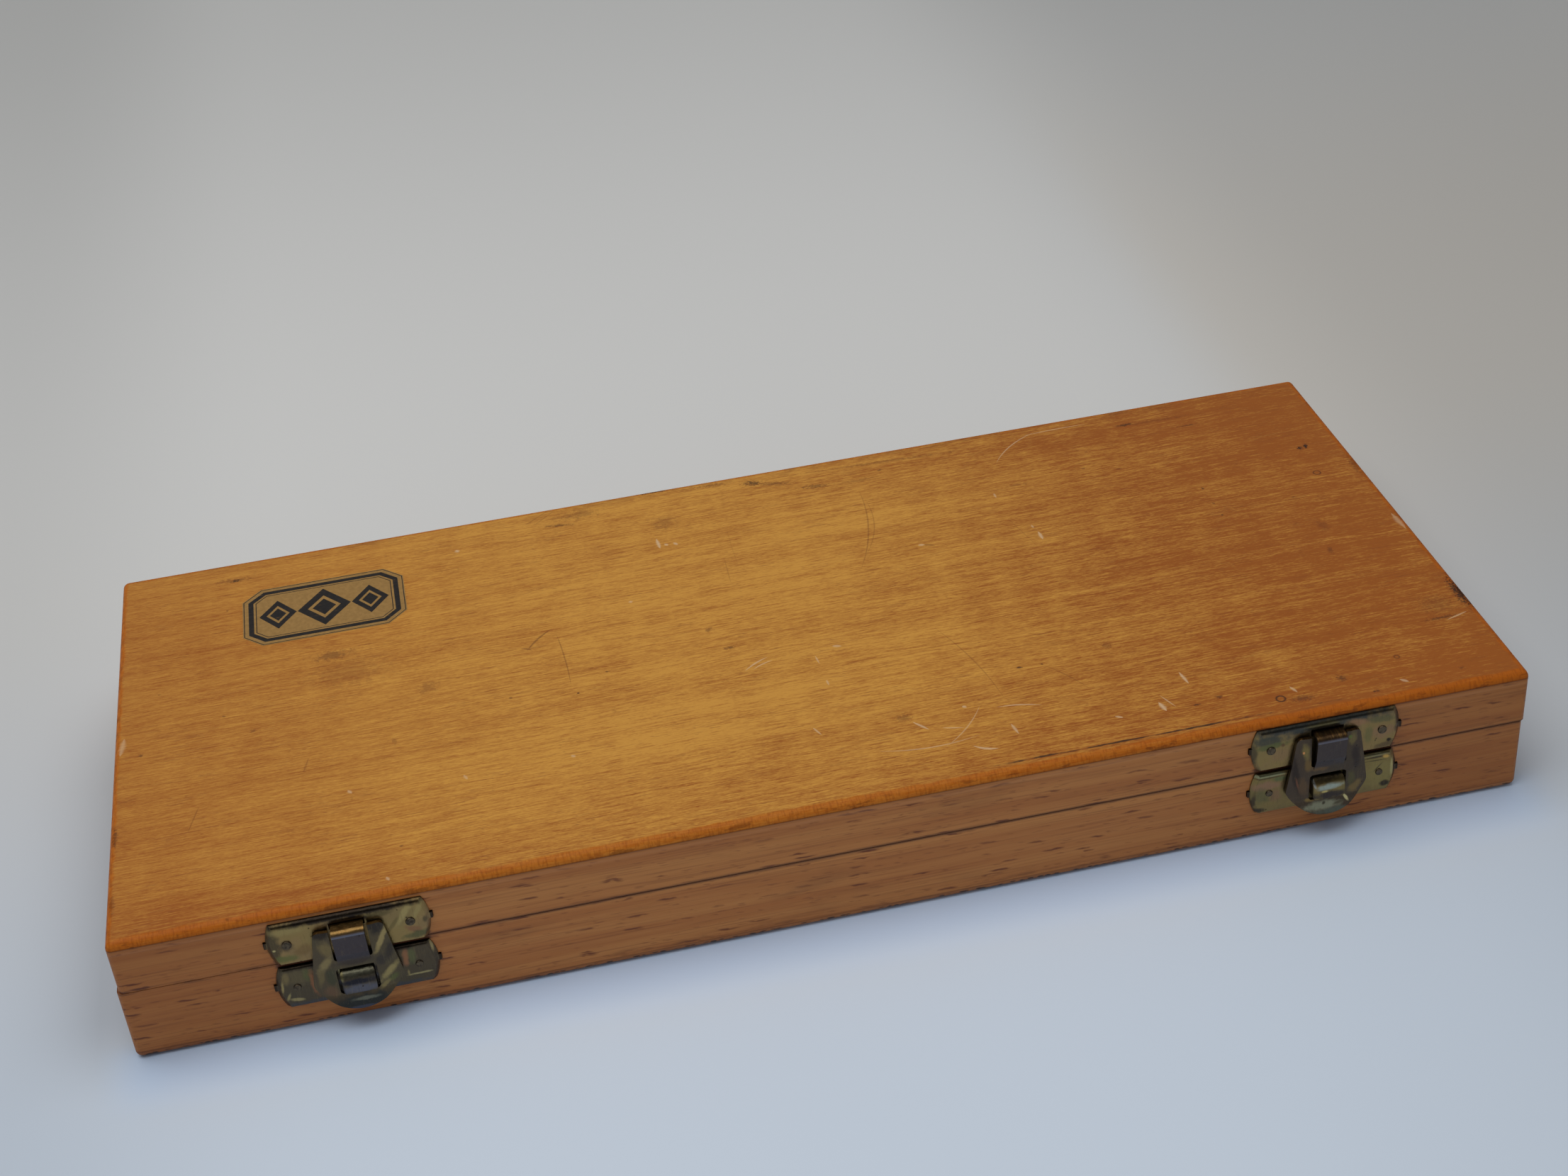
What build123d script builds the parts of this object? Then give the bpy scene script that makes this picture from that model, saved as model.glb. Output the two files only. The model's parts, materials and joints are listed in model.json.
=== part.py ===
from build123d import *
from math import cos, radians, sin, tan
import os

os.makedirs("parts", exist_ok=True)

# A flat hinged instrument case, closed and lying on its bottom. Sizes are in millimetres.
# X runs along the case, Y from its front to its back, Z upwards. The origin lies on the
# table, under the middle of the closed case with its latches and hinges.

# The two wooden shells.
case_length = 300.0
case_width = 134.4
base_height = 18.0
lid_height = 12.95
seam = 0.15  # line between the closed shells
shell_slip = 0.4  # the lid sits this much further to the right than the base
wall = 7.0  # solid strips round each shell
ply = 1.8  # plywood top and bottom
corner_round = 1.2  # upright corners
edge_round = 1.7  # outer edges of the plywood
edge_round_share = 0.95  # the most of the plywood's thickness that its rounding takes

# Latches: a plate on each shell and a hasp that hangs in the lid's plate.
latch_inset_left = 47.3  # from the base's left end to the left latch's middle
latch_inset_right = 45.6
latch_drop_left = 0.4  # the left latch was nailed on a little low
latch_rise_right = 0.3  # and the right one a little high
plate_length = 33.0
plate_end_length = 30.6  # at the top and bottom corners
plate_proud = 1.2  # outer face of a plate, off the wood
plate_sheet = 0.7
plate_rim = 0.45  # turned-down edge round a plate
plate_bevel = 0.9  # slope at a plate's ends
plate_lower_round = 0.3
lid_plate_round = 1.05  # rolled top edge of the lid's plate
base_plate_round = 0.8
lid_plate_margin = 0.7  # wood left between the lid's plate and the lid's lower edge
lid_plate_top_margin = 0.3
base_plate_margin = 0.4
base_plate_height = 10.3
prong_width = 1.5  # pointed tabs at a plate's ends, bent into the wood
prong_sheet = 0.6
prong_depth = 2.2
prong_stand_off = 0.5  # how far a prong stands out past its plate's end

# The hasp and what it works on.
hasp_sheet = 0.8
hasp_play = 0.15  # between the hasp's upper corners and the lid's plate
hasp_top_width = 14.0
hasp_width = 18.3
hasp_belly = 2.5  # middle of the sheet at the cross bar, off the wood
hasp_lip_reach = 3.9  # middle of the sheet at the thumb lip's edge
hasp_lip = 3.5  # from the window's lower edge to the thumb lip's edge
hasp_wide_above_window = 2.6  # widest place, above the window's lower edge
hasp_corner = 1.3
hasp_fold_width = 9.6  # between the two folds that its wings lean back from
wing_slope = 8.5  # degrees that a wing leans back
hasp_bends = (8.0, 2.5)  # bend radii at the cross bar and above the lip
bar_height = 2.2  # cross bar between the window and the tongue
tongue_width = 6.6
tongue_side_gap = 0.6
tongue_reach = 4.4  # the tongue's outer face, off the wood
tongue_swell = 2.2  # height over which the tongue bends out of the bar
tongue_bends = (2.0, 0.9)  # bend radii above the bar and at the tongue's shoulder
tongue_tail = 0.8  # what turns up behind the plate, past the hinge line
hook_below_top = 1.55  # hinge line of the hasp, below the lid plate's top edge
hook_gap = 0.25  # loose fit of the hooked tongue round the plate's slot edge
horn_below_hook = 1.25
catch_width = 7.0
catch_reach = 4.1
catch_height = 5.4
catch_round = 2.6
catch_corner = 0.9  # rounding of the catch's ends, seen from the front and from above
catch_ledge_below_top = 7.3  # underside of the catch, below the base plate's top edge
window_play = 0.5  # under the catch's ledge
window_side_play = 0.6
window_head = 0.8  # free window above the catch
slot_play = 0.3

# Nails of the latches and hinges.
nail_spacing = 24.8
nail_shank = 0.55
nail_head = 1.0
base_nail_head = 0.8
nail_head_height = 0.35
nail_depth = 5.0  # in the wood
nail_play = 0.05
nail_point = 0.35  # bevel at a nail's point
nail_dome = 0.28  # rounding of a nail's head
prong_play = 0.1

# Two butt hinges on the back.
hinge_inset = 52.0
hinge_width = 32.0
hinge_leaf = 9.0  # from the pin's axis to the leaf's edge
hinge_sheet = 0.8
hinge_pin = 0.85
hinge_pin_play = 0.05
hinge_pin_end = 0.25  # bevel at the pin's ends
hinge_middle = 12.0  # the lid's knuckle
knuckle_gap = 0.3
hinge_nail_spacing = 21.0
hinge_nail_height = 5.6  # from the pin's axis

# The instrument that the fitted blocks hold, lying flat, and the blocks.
thimble_radius = 8.5
frame_thickness = 11.0
rod_radius = 5.0  # setting rod
axis_height = 11.0  # the spindle's axis above the floor of the case
groove_play = 0.5
block_round = 1.0
thimble_cradle_length = 46.0
thimble_cradle_width = 26.0
thimble_inset = 34.0  # from the right inner wall to the cradle
anvil_cradle_length = 28.0
anvil_cradle_width = 26.0
anvil_inset = 22.0  # from the left inner wall to the cradle
spindle_setback = 27.0  # from the front inner wall to the spindle's axis
bow_rest_length = 72.0
bow_rest_width = 16.0
bow_rest_setback = 12.0  # from the back inner wall
bow_rest_inset = 70.0  # from the left inner wall
rod_rest_length = 12.0
rod_rest_width = 17.0
rod_rest_height = 8.0
rod_setback = 58.0  # from the front inner wall to the rod's axis
rod_rest_inset = 74.0  # from the left inner wall to the first rest
rod_rest_pitch = 64.0
felt_thickness = 1.9
press_play = 0.3  # between the felt and the instrument
press_margin = 2.0  # a press block is this much smaller all round than its cradle

# Levels and places that follow from the sizes above.
knuckle_radius = hinge_pin + hinge_pin_play + hinge_sheet
hinge_reach = knuckle_gap + 2 * knuckle_radius
latch_reach = max(tongue_reach, catch_reach)
front_y = latch_reach - (case_width + latch_reach + hinge_reach) / 2
back_y = front_y + case_width
base_x = -shell_slip / 2
lid_x = shell_slip / 2
lid_bottom = base_height + seam
case_top = lid_bottom + lid_height
ceiling = case_top - ply
inner_front = front_y + wall
inner_back = back_y - wall
inner_left = base_x - case_length / 2 + wall
inner_right = base_x + case_length / 2 - wall
axis_z = ply + axis_height
latch_x = {
    "left": base_x - case_length / 2 + latch_inset_left,
    "right": base_x + case_length / 2 - latch_inset_right,
}
latch_shift = {"left": -latch_drop_left, "right": latch_rise_right}
hinge_x = {
    "left": -case_length / 2 + hinge_inset,
    "right": case_length / 2 - hinge_inset,
}
hinge_y = back_y + knuckle_gap + knuckle_radius
hinge_z = base_height + seam / 2
spindle_y = inner_front + spindle_setback
rod_y = inner_front + rod_setback


def slab(x0, x1, y0, y1, z0, z1):
    """A box between two corners."""
    middle = Pos((x0 + x1) / 2, (y0 + y1) / 2, (z0 + z1) / 2)
    return middle * Box(x1 - x0, y1 - y0, z1 - z0)


def rod_along_x(x0, x1, y, z, radius):
    return Pos((x0 + x1) / 2, y, z) * Rot(0, 90, 0) * Cylinder(radius, x1 - x0)


def rod_along_y(y0, y1, x, z, radius):
    return Pos(x, (y0 + y1) / 2, z) * Rot(90, 0, 0) * Cylinder(radius, y1 - y0)


def front_plane(x):
    """A plane on the case's front: its x runs to the right, its y up, its normal outwards."""
    return Plane(origin=(x, front_y, 0), x_dir=(1, 0, 0), z_dir=(0, -1, 0))


def across(profile, x, width):
    """A profile drawn in distance off the front and height, carried along X about x."""
    plane = Plane(origin=(x + width / 2, front_y, 0), x_dir=(0, -1, 0), z_dir=(-1, 0, 0))
    return extrude(plane * profile, amount=width)


def bent_sheet(points, radii, sheet):
    """The section of a bent strip whose middle line runs through the points."""
    line = FilletPolyline(*points, radius=radii)
    return make_face(offset(line, amount=sheet / 2, side=Side.BOTH))


# ---------------------------------------------------------------- the wooden shells


def panel(x, z0, z1, outer):
    """A plywood panel that covers a whole shell, rounded towards its outer side."""
    half = case_length / 2
    board = slab(x - half, x + half, front_y, back_y, z0, z1)
    board = fillet(board.edges().filter_by(Axis.Z), corner_round)
    face = board.faces().sort_by(Axis.Z)[outer]
    return fillet(face.edges(), min(edge_round, edge_round_share * ply))


def long_board(x, y0, z0, z1, outer):
    """The front or back strip of a shell, over its whole length."""
    half = case_length / 2
    board = slab(x - half, x + half, y0, y0 + wall, z0, z1)
    face = board.faces().sort_by(Axis.Y)[outer]
    return fillet(face.edges().filter_by(Axis.Z), corner_round)


def end_board(x0, z0, z1):
    """An end strip, between the front and the back strip."""
    return slab(x0, x0 + wall, inner_front, inner_back, z0, z1)


# ---------------------------------------------------------------- nails and prongs


def nail_places(x, z):
    """Where the two nails of a latch plate go."""
    return [(x + side * nail_spacing / 2, z) for side in (-1, 1)]


def front_nail(x, z, head):
    shank = rod_along_y(front_y - plate_proud, front_y + nail_depth, x, z, nail_shank)
    shank = chamfer(shank.edges().sort_by(Axis.Y)[-1], nail_point)
    top = front_y - plate_proud
    cap = rod_along_y(top - nail_head_height, top, x, z, head)
    return shank + fillet(cap.edges().sort_by(Axis.Y)[0], nail_dome)


def front_nail_hole(x, z):
    y0 = front_y - plate_proud - 1
    return rod_along_y(y0, front_y + nail_depth + nail_play, x, z, nail_shank + nail_play)


def prong(x, z, play):
    """A tab past the plate's end that is driven into the wood, or its slot with play."""
    wide = prong_width / 2 + play
    thick = prong_sheet / 2 + play
    out = front_y - (plate_proud - plate_sheet)
    return slab(x - thick, x + thick, out, front_y + prong_depth + play, z - wide, z + wide)


def prong_places(x, z):
    reach = plate_length / 2 + prong_stand_off - prong_sheet / 2
    return [(x + side * reach, z) for side in (-1, 1)]


# ---------------------------------------------------------------- latch plates


def plate_outline(bottom, top):
    """A plate's outline: straight top and bottom, ends that bulge outwards."""
    corner = plate_end_length / 2
    middle = (bottom + top) / 2
    lines = [
        Line((-corner, bottom), (corner, bottom)),
        ThreePointArc((corner, bottom), (plate_length / 2, middle), (corner, top)),
        Line((corner, top), (-corner, top)),
        ThreePointArc((-corner, top), (-plate_length / 2, middle), (-corner, bottom)),
    ]
    return make_face(lines)


def plate(x, bottom, top, top_round):
    """A dished plate: a thin face with a bevel at its ends, a rolled top and a rim."""
    plane = front_plane(x)
    body = extrude(plane * plate_outline(bottom, top), amount=plate_proud)
    rim = body.faces().sort_by(Axis.Y)[0].edges()
    ends = rim.filter_by(GeomType.CIRCLE)
    body = chamfer(ends, plate_bevel)
    upper = body.faces().sort_by(Axis.Y)[0].edges().sort_by(Axis.Z)[-1]
    body = fillet(upper, top_round)
    lower = body.faces().sort_by(Axis.Y)[0].edges().sort_by(Axis.Z)[0]
    body = fillet(lower, plate_lower_round)
    dish = offset(plate_outline(bottom, top), amount=-plate_rim)
    body -= extrude(plane * dish, amount=plate_proud - plate_sheet)
    middle = (bottom + top) / 2
    for place_x, place_z in prong_places(x, middle):
        body += prong(place_x, place_z, 0)
        inner = x + (place_x - x) * (plate_length / 2 - plate_rim) / (plate_length / 2)
        foot = (min(place_x, inner), max(place_x, inner))
        out = front_y - (plate_proud - plate_sheet)
        wide = prong_width / 2
        body += slab(*foot, out, front_y, middle - wide, middle + wide)
    return body


def lid_plate_span(side):
    shift = latch_shift[side]
    return lid_bottom + lid_plate_margin + shift, ceiling - lid_plate_top_margin + shift


def base_plate_span(side):
    top = base_height - base_plate_margin + latch_shift[side]
    return top - base_plate_height, top


def hook_axis(side):
    """Height of the hasp's hinge line, and its distance off the wood."""
    return lid_plate_span(side)[1] - hook_below_top, plate_proud - plate_sheet / 2


def ledge(side):
    """Underside of the catch."""
    return base_plate_span(side)[1] - catch_ledge_below_top


def lid_plate(side):
    x = latch_x[side]
    bottom, top = lid_plate_span(side)
    hook_z, hook_d = hook_axis(side)
    body = plate(x, bottom, top, lid_plate_round)
    half = tongue_width / 2 + slot_play
    reach = plate_sheet / 2 + hook_gap + hasp_sheet + slot_play
    body -= slab(x - half, x + half, front_y - plate_proud - 1, front_y, hook_z - reach, hook_z)
    body += rod_along_x(x - half, x + half, front_y - hook_d, hook_z, plate_sheet / 2)
    for place in nail_places(x, (bottom + top) / 2):
        body -= front_nail_hole(*place)
    return body


def catch(x, low):
    """The bump that the hasp's window closes over: a rounded top, a ledge, rounded ends."""
    high = low + catch_height
    inner = plate_proud - plate_sheet / 2
    section = Polygon(
        (inner, low), (catch_reach, low), (catch_reach, high), (inner, high), align=None
    )
    outer = section.vertices().group_by(Axis.X)[-1].sort_by(Axis.Y)
    section = fillet(outer[1], catch_round)
    section = fillet(section.vertices().sort_by(Axis.X)[-2:].sort_by(Axis.Y)[0], hook_gap)
    body = across(section, x, catch_width)
    middle = low + catch_height / 2
    from_front = Pos(0, middle) * RectangleRounded(catch_width, catch_height, catch_corner)
    body &= extrude(front_plane(x) * from_front, amount=catch_reach)
    from_above = RectangleRounded(catch_width, 2 * catch_reach, catch_corner)
    return body & extrude(Pos(x, front_y, low) * from_above, amount=catch_height)


def base_plate(side):
    x = latch_x[side]
    bottom, top = base_plate_span(side)
    body = plate(x, bottom, top, base_plate_round) + catch(x, ledge(side))
    for place in nail_places(x, (bottom + top) / 2):
        body -= front_nail_hole(*place)
    return body


def hook_pocket(side):
    """The recess in the lid's front strip that the hooked tongue turns in."""
    x = latch_x[side]
    hook_z, hook_d = hook_axis(side)
    outer = plate_sheet / 2 + hook_gap + hasp_sheet
    sweep = (outer**2 + tongue_tail**2) ** 0.5
    half = tongue_width / 2 + slot_play
    low = hook_z - outer - slot_play
    high = hook_z + tongue_tail + slot_play
    return slab(x - half, x + half, front_y, front_y - hook_d + sweep + slot_play, low, high)


# ---------------------------------------------------------------- hasps


def hasp_outline(top, wide, tip):
    """The hasp seen from the front: narrow at its upper corners, round at its lip."""
    upper = hasp_top_width / 2
    lower = hasp_width / 2
    lines = [
        Line((-upper, top), (upper, top)),
        Line((upper, top), (lower, wide)),
        ThreePointArc((lower, wide), (0, tip), (-lower, wide)),
        Line((-lower, wide), (-upper, top)),
    ]
    shape = make_face(lines)
    corners = shape.vertices().sort_by(Axis.Y)
    shape = fillet(corners[-2:], hasp_corner)
    wide_corners = [v for v in shape.vertices() if abs(v.Y - wide) < 1e-6]
    return fillet(wide_corners, 2 * hasp_corner)


def hasp(side):
    x = latch_x[side]
    hook_z, hook_d = hook_axis(side)
    low = ledge(side) - window_play
    high = ledge(side) + catch_height + window_head
    bar_top = high + bar_height
    horn_top = hook_z - horn_below_hook
    tip = low - hasp_lip
    middle = hasp_sheet / 2
    lean_back = radians(wing_slope)
    wing_drop = (hasp_top_width - hasp_fold_width) / 2 * tan(lean_back)
    horn_d = plate_proud + hasp_play + middle + wing_drop
    past = 2.0  # the section runs past the outline at both ends

    lean = (hasp_belly - horn_d) / (horn_top - bar_top)
    flare = (hasp_lip_reach - hasp_belly) / (low - tip)
    section = bent_sheet(
        [
            (horn_d - lean * past, horn_top + past),
            (hasp_belly, bar_top),
            (hasp_belly, low),
            (hasp_lip_reach + flare * past, tip - past),
        ],
        hasp_bends,
        hasp_sheet,
    )
    body = across(section, x, hasp_fold_width)
    for way in (-1, 1):
        origin = (x + way * hasp_fold_width / 2, front_y, 0)
        fold = Plane(origin=origin, x_dir=(0, -1, 0), z_dir=(-1, 0, 0))
        backwards = (way * cos(lean_back), sin(lean_back), 0)
        body += extrude(fold * section, amount=hasp_width / 2, dir=backwards)
    wide = low + hasp_wide_above_window
    outline = front_plane(x) * hasp_outline(horn_top, wide, tip)
    body &= extrude(outline, amount=2 * tongue_reach)

    half = catch_width / 2 + window_side_play
    window = slab(x - half, x + half, front_y - 2 * tongue_reach, front_y, low, high)
    body -= fillet(window.edges().filter_by(Axis.Y), hasp_sheet)
    gap = tongue_width / 2 + tongue_side_gap
    notch = slab(x - gap, x + gap, front_y - 2 * tongue_reach, front_y, bar_top, hook_z)
    body -= fillet(notch.edges().filter_by(Axis.Y).group_by(Axis.Z)[0], tongue_side_gap)

    centre_gap = plate_sheet / 2 + hook_gap + middle
    front_d = tongue_reach - middle
    tongue = bent_sheet(
        [
            (hasp_belly, bar_top - hasp_sheet),
            (front_d - middle, bar_top + tongue_swell),
            (front_d, hook_z - centre_gap),
            (hook_d - centre_gap, hook_z - centre_gap),
            (hook_d - centre_gap, hook_z + tongue_tail - middle),
        ],
        [*tongue_bends, centre_gap],
        hasp_sheet,
    )
    return body + across(tongue, x, tongue_width)


# ---------------------------------------------------------------- hinges


def hinge_nail_places(side, up):
    x = hinge_x[side]
    z = hinge_z + up * hinge_nail_height
    return [(x + way * hinge_nail_spacing / 2, z) for way in (-1, 1)]


def back_nail(x, z):
    outer = back_y + hinge_sheet
    shank = rod_along_y(back_y - nail_depth, outer, x, z, nail_shank)
    shank = chamfer(shank.edges().sort_by(Axis.Y)[0], nail_point)
    cap = rod_along_y(outer, outer + nail_head_height, x, z, nail_head)
    return shank + fillet(cap.edges().sort_by(Axis.Y)[-1], nail_dome)


def back_nail_hole(x, z):
    y0 = back_y - nail_depth - nail_play
    return rod_along_y(y0, back_y + hinge_sheet + 1, x, z, nail_shank + nail_play)


def knuckle_spans(side):
    """The lid's knuckle in the middle, and the base's two beside it, along X."""
    x = hinge_x[side]
    half = hinge_width / 2
    inner = hinge_middle / 2
    outer = inner + knuckle_gap
    return [(x - inner, x + inner)], [(x - half, x - outer), (x + outer, x + half)]


def hinge_leaf_solid(side, up, own, other):
    """A flat leaf on the back with its knuckles, cut clear of the other leaf's."""
    x = hinge_x[side]
    half = hinge_width / 2
    edge = hinge_z + up * hinge_leaf
    z0, z1 = min(hinge_z, edge), max(hinge_z, edge)
    body = slab(x - half, x + half, back_y, back_y + hinge_sheet, z0, z1)
    outer_corners = body.edges().filter_by(Axis.Y).group_by(Axis.Z)
    body = fillet(outer_corners[-1 if up > 0 else 0], hinge_sheet)
    clear = knuckle_radius + knuckle_gap
    for x0, x1 in other:
        body -= slab(
            x0 - knuckle_gap,
            x1 + knuckle_gap,
            back_y,
            back_y + hinge_sheet,
            hinge_z - clear,
            hinge_z + clear,
        )
    for x0, x1 in own:
        body += rod_along_x(x0, x1, hinge_y, hinge_z, knuckle_radius)
    bore = hinge_pin + hinge_pin_play
    body -= rod_along_x(x - half, x + half, hinge_y, hinge_z, bore)
    for place in hinge_nail_places(side, up):
        body -= back_nail_hole(*place)
    return body


def hinge_pin_solid(side):
    x = hinge_x[side]
    pin = rod_along_x(x - hinge_width / 2, x + hinge_width / 2, hinge_y, hinge_z, hinge_pin)
    return chamfer(pin.edges().filter_by(GeomType.CIRCLE), hinge_pin_end)


# ---------------------------------------------------------------- fitted blocks


def block(x0, x1, y0, y1, height):
    """A block glued to the floor of the case, with softened upright corners."""
    body = slab(x0, x1, y0, y1, ply, ply + height)
    return fillet(body.edges().filter_by(Axis.Z), block_round)


def thimble_cradle_span():
    x1 = inner_right - thimble_inset
    return x1 - thimble_cradle_length, x1


def anvil_cradle_span():
    x0 = inner_left + anvil_inset
    return x0, x0 + anvil_cradle_length


def thimble_cradle():
    """Holds the thimble in a half-round groove."""
    x0, x1 = thimble_cradle_span()
    half = thimble_cradle_width / 2
    body = block(x0, x1, spindle_y - half, spindle_y + half, axis_height)
    return body - rod_along_x(x0, x1, spindle_y, axis_z, thimble_radius + groove_play)


def anvil_cradle():
    """Holds the anvil end of the instrument's frame in a square slot."""
    x0, x1 = anvil_cradle_span()
    half = anvil_cradle_width / 2
    body = block(x0, x1, spindle_y - half, spindle_y + half, axis_height)
    slot = frame_thickness / 2 + groove_play
    return body - slab(x0, x1, spindle_y - slot, spindle_y + slot, axis_z - slot, axis_z)


def bow_rest():
    """A flat strip under the bow of the instrument's frame."""
    x0 = inner_left + bow_rest_inset
    y1 = inner_back - bow_rest_setback
    height = axis_height - frame_thickness / 2
    return block(x0, x0 + bow_rest_length, y1 - bow_rest_width, y1, height)


def rod_rest(number):
    """One of two grooved blocks for the setting rod."""
    x0 = inner_left + rod_rest_inset + number * rod_rest_pitch
    x1 = x0 + rod_rest_length
    half = rod_rest_width / 2
    body = block(x0, x1, rod_y - half, rod_y + half, rod_rest_height)
    return body - rod_along_x(x0, x1, rod_y, ply + rod_rest_height, rod_radius + groove_play)


def press_box(span, width, z0, z1):
    """The room of a press block or its felt, over a cradle."""
    x0, x1 = span
    half = width / 2 - press_margin
    y0, y1 = spindle_y - half, spindle_y + half
    return slab(x0 + press_margin, x1 - press_margin, y0, y1, z0, z1)


def press_parts(span, width, top_of_load):
    """A block under the lid's ceiling and the felt on its face."""
    face = top_of_load + press_play + felt_thickness
    wood = press_box(span, width, face, ceiling)
    wood = fillet(wood.edges().filter_by(Axis.Z), block_round)
    felt = press_box(span, width, face - felt_thickness, face)
    return wood, fillet(felt.edges().filter_by(Axis.Z), block_round)


# ---------------------------------------------------------------- the whole case


def fasten(board, holes):
    for hole in holes:
        board -= hole
    return board


def front_holes(span_of):
    """Nail holes and prong slots under the plates on one shell's front."""
    holes = []
    for side in latch_x:
        bottom, top = span_of(side)
        middle = (bottom + top) / 2
        for place in nail_places(latch_x[side], middle):
            holes.append(front_nail_hole(*place))
        for place in prong_places(latch_x[side], middle):
            holes.append(prong(*place, prong_play))
    return holes


def back_holes(up):
    return [back_nail_hole(*p) for side in hinge_x for p in hinge_nail_places(side, up)]


def plate_nails(span_of, head):
    nails = []
    for side in latch_x:
        bottom, top = span_of(side)
        for place in nail_places(latch_x[side], (bottom + top) / 2):
            nails.append(front_nail(*place, head))
    return nails


def hinge_nails(up):
    return [back_nail(*p) for side in hinge_x for p in hinge_nail_places(side, up)]


def shell(x, z0, z1, name, front_cuts, back_cuts):
    """The four strips of one shell between two heights."""
    left = x - case_length / 2
    right = x + case_length / 2 - wall
    return {
        name + "_front_board": fasten(long_board(x, front_y, z0, z1, 0), front_cuts),
        name + "_back_board": fasten(long_board(x, inner_back, z0, z1, -1), back_cuts),
        name + "_left_board": end_board(left, z0, z1),
        name + "_right_board": end_board(right, z0, z1),
    }


nodes = {}
nodes["base_bottom_panel"] = panel(base_x, 0, ply, 0)
nodes.update(
    shell(base_x, ply, base_height, "base", front_holes(base_plate_span), back_holes(-1))
)
nodes["lid_top_panel"] = panel(lid_x, ceiling, case_top, -1)
lid_cuts = front_holes(lid_plate_span) + [hook_pocket(side) for side in latch_x]
nodes.update(shell(lid_x, lid_bottom, ceiling, "lid", lid_cuts, back_holes(1)))

for side in latch_x:
    nodes["latch_lid_plate_" + side] = lid_plate(side)
    nodes["latch_base_plate_" + side] = base_plate(side)
    nodes["latch_hasp_" + side] = hasp(side)
nodes["lid_plate_nails"] = Compound(children=plate_nails(lid_plate_span, nail_head))
nodes["base_plate_nails"] = Compound(children=plate_nails(base_plate_span, base_nail_head))

for side in hinge_x:
    lid_knuckles, base_knuckles = knuckle_spans(side)
    nodes["hinge_lid_leaf_" + side] = hinge_leaf_solid(side, 1, lid_knuckles, base_knuckles)
    nodes["hinge_base_leaf_" + side] = hinge_leaf_solid(side, -1, base_knuckles, lid_knuckles)
    nodes["hinge_pin_" + side] = hinge_pin_solid(side)
nodes["hinge_lid_nails"] = Compound(children=hinge_nails(1))
nodes["hinge_base_nails"] = Compound(children=hinge_nails(-1))

nodes["thimble_cradle"] = thimble_cradle()
nodes["anvil_cradle"] = anvil_cradle()
nodes["bow_rest"] = bow_rest()
nodes["rod_rest_left"] = rod_rest(0)
nodes["rod_rest_right"] = rod_rest(1)
thimble_press = press_parts(
    thimble_cradle_span(), thimble_cradle_width, axis_z + thimble_radius
)
anvil_press = press_parts(
    anvil_cradle_span(), anvil_cradle_width, axis_z + frame_thickness / 2
)
nodes["thimble_press_block"], nodes["thimble_press_felt"] = thimble_press
nodes["anvil_press_block"], nodes["anvil_press_felt"] = anvil_press

for name, shape in nodes.items():
    export_step(shape, f"parts/{name}.step")
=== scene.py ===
"""A flat wooden instrument case, closed: varnished plywood and beech, stamped latches, butt hinges.
"""
import json
from functools import reduce
from math import atan2, cos, hypot, radians, sin

import bmesh
import bpy
import numpy as np
from mathutils import Matrix, Vector

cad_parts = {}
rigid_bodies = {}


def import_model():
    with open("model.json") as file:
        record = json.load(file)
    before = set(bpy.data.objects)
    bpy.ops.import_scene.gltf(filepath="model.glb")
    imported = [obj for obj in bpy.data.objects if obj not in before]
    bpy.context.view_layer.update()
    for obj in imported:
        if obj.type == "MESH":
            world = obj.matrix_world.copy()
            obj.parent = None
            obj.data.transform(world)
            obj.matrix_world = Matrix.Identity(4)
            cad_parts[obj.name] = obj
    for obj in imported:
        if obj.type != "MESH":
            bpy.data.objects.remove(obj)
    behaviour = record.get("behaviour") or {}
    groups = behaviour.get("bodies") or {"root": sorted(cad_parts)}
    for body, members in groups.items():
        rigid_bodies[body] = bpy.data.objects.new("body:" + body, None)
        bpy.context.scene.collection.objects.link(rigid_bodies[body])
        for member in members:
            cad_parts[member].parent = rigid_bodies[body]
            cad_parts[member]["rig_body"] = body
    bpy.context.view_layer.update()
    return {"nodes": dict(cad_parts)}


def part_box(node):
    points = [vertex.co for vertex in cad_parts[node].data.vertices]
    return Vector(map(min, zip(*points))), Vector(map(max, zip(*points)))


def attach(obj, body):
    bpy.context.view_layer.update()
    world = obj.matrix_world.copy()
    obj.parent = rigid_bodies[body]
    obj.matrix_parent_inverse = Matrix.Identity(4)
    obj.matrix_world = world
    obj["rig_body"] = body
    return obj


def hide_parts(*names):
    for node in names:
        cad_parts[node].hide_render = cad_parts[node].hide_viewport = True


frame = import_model()

MM = 0.001

# Camera, read from the straight edges of the case in the photograph.
IMAGE_WIDTH = 2212
FOCAL_PX = 3307
SENSOR = 36.0
CAMERA_PLACE = (-64.77, -433.67, 337.02)
CAMERA_TURN = 8.7524  # degrees to the right of straight ahead
CAMERA_DIP = 34.0264  # degrees below the horizon
CAMERA_ROLL = 5.2987  # degrees, top of the camera towards its right

# ---- places from the frame


def corners_of(node):
    """A node's lowest and highest corners, in millimetres."""
    low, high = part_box(node)
    return low / MM, high / MM


TOP_LOW, TOP_HIGH = corners_of("lid_top_panel")
BOTTOM_LOW, BOTTOM_HIGH = corners_of("base_bottom_panel")
FRONT_Y = BOTTOM_LOW.y
BACK_Y = BOTTOM_HIGH.y
LEFT_X = TOP_LOW.x
RIGHT_X = TOP_HIGH.x
SEAM_Z = (corners_of("base_front_board")[1].z + corners_of("lid_front_board")[0].z) / 2

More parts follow.
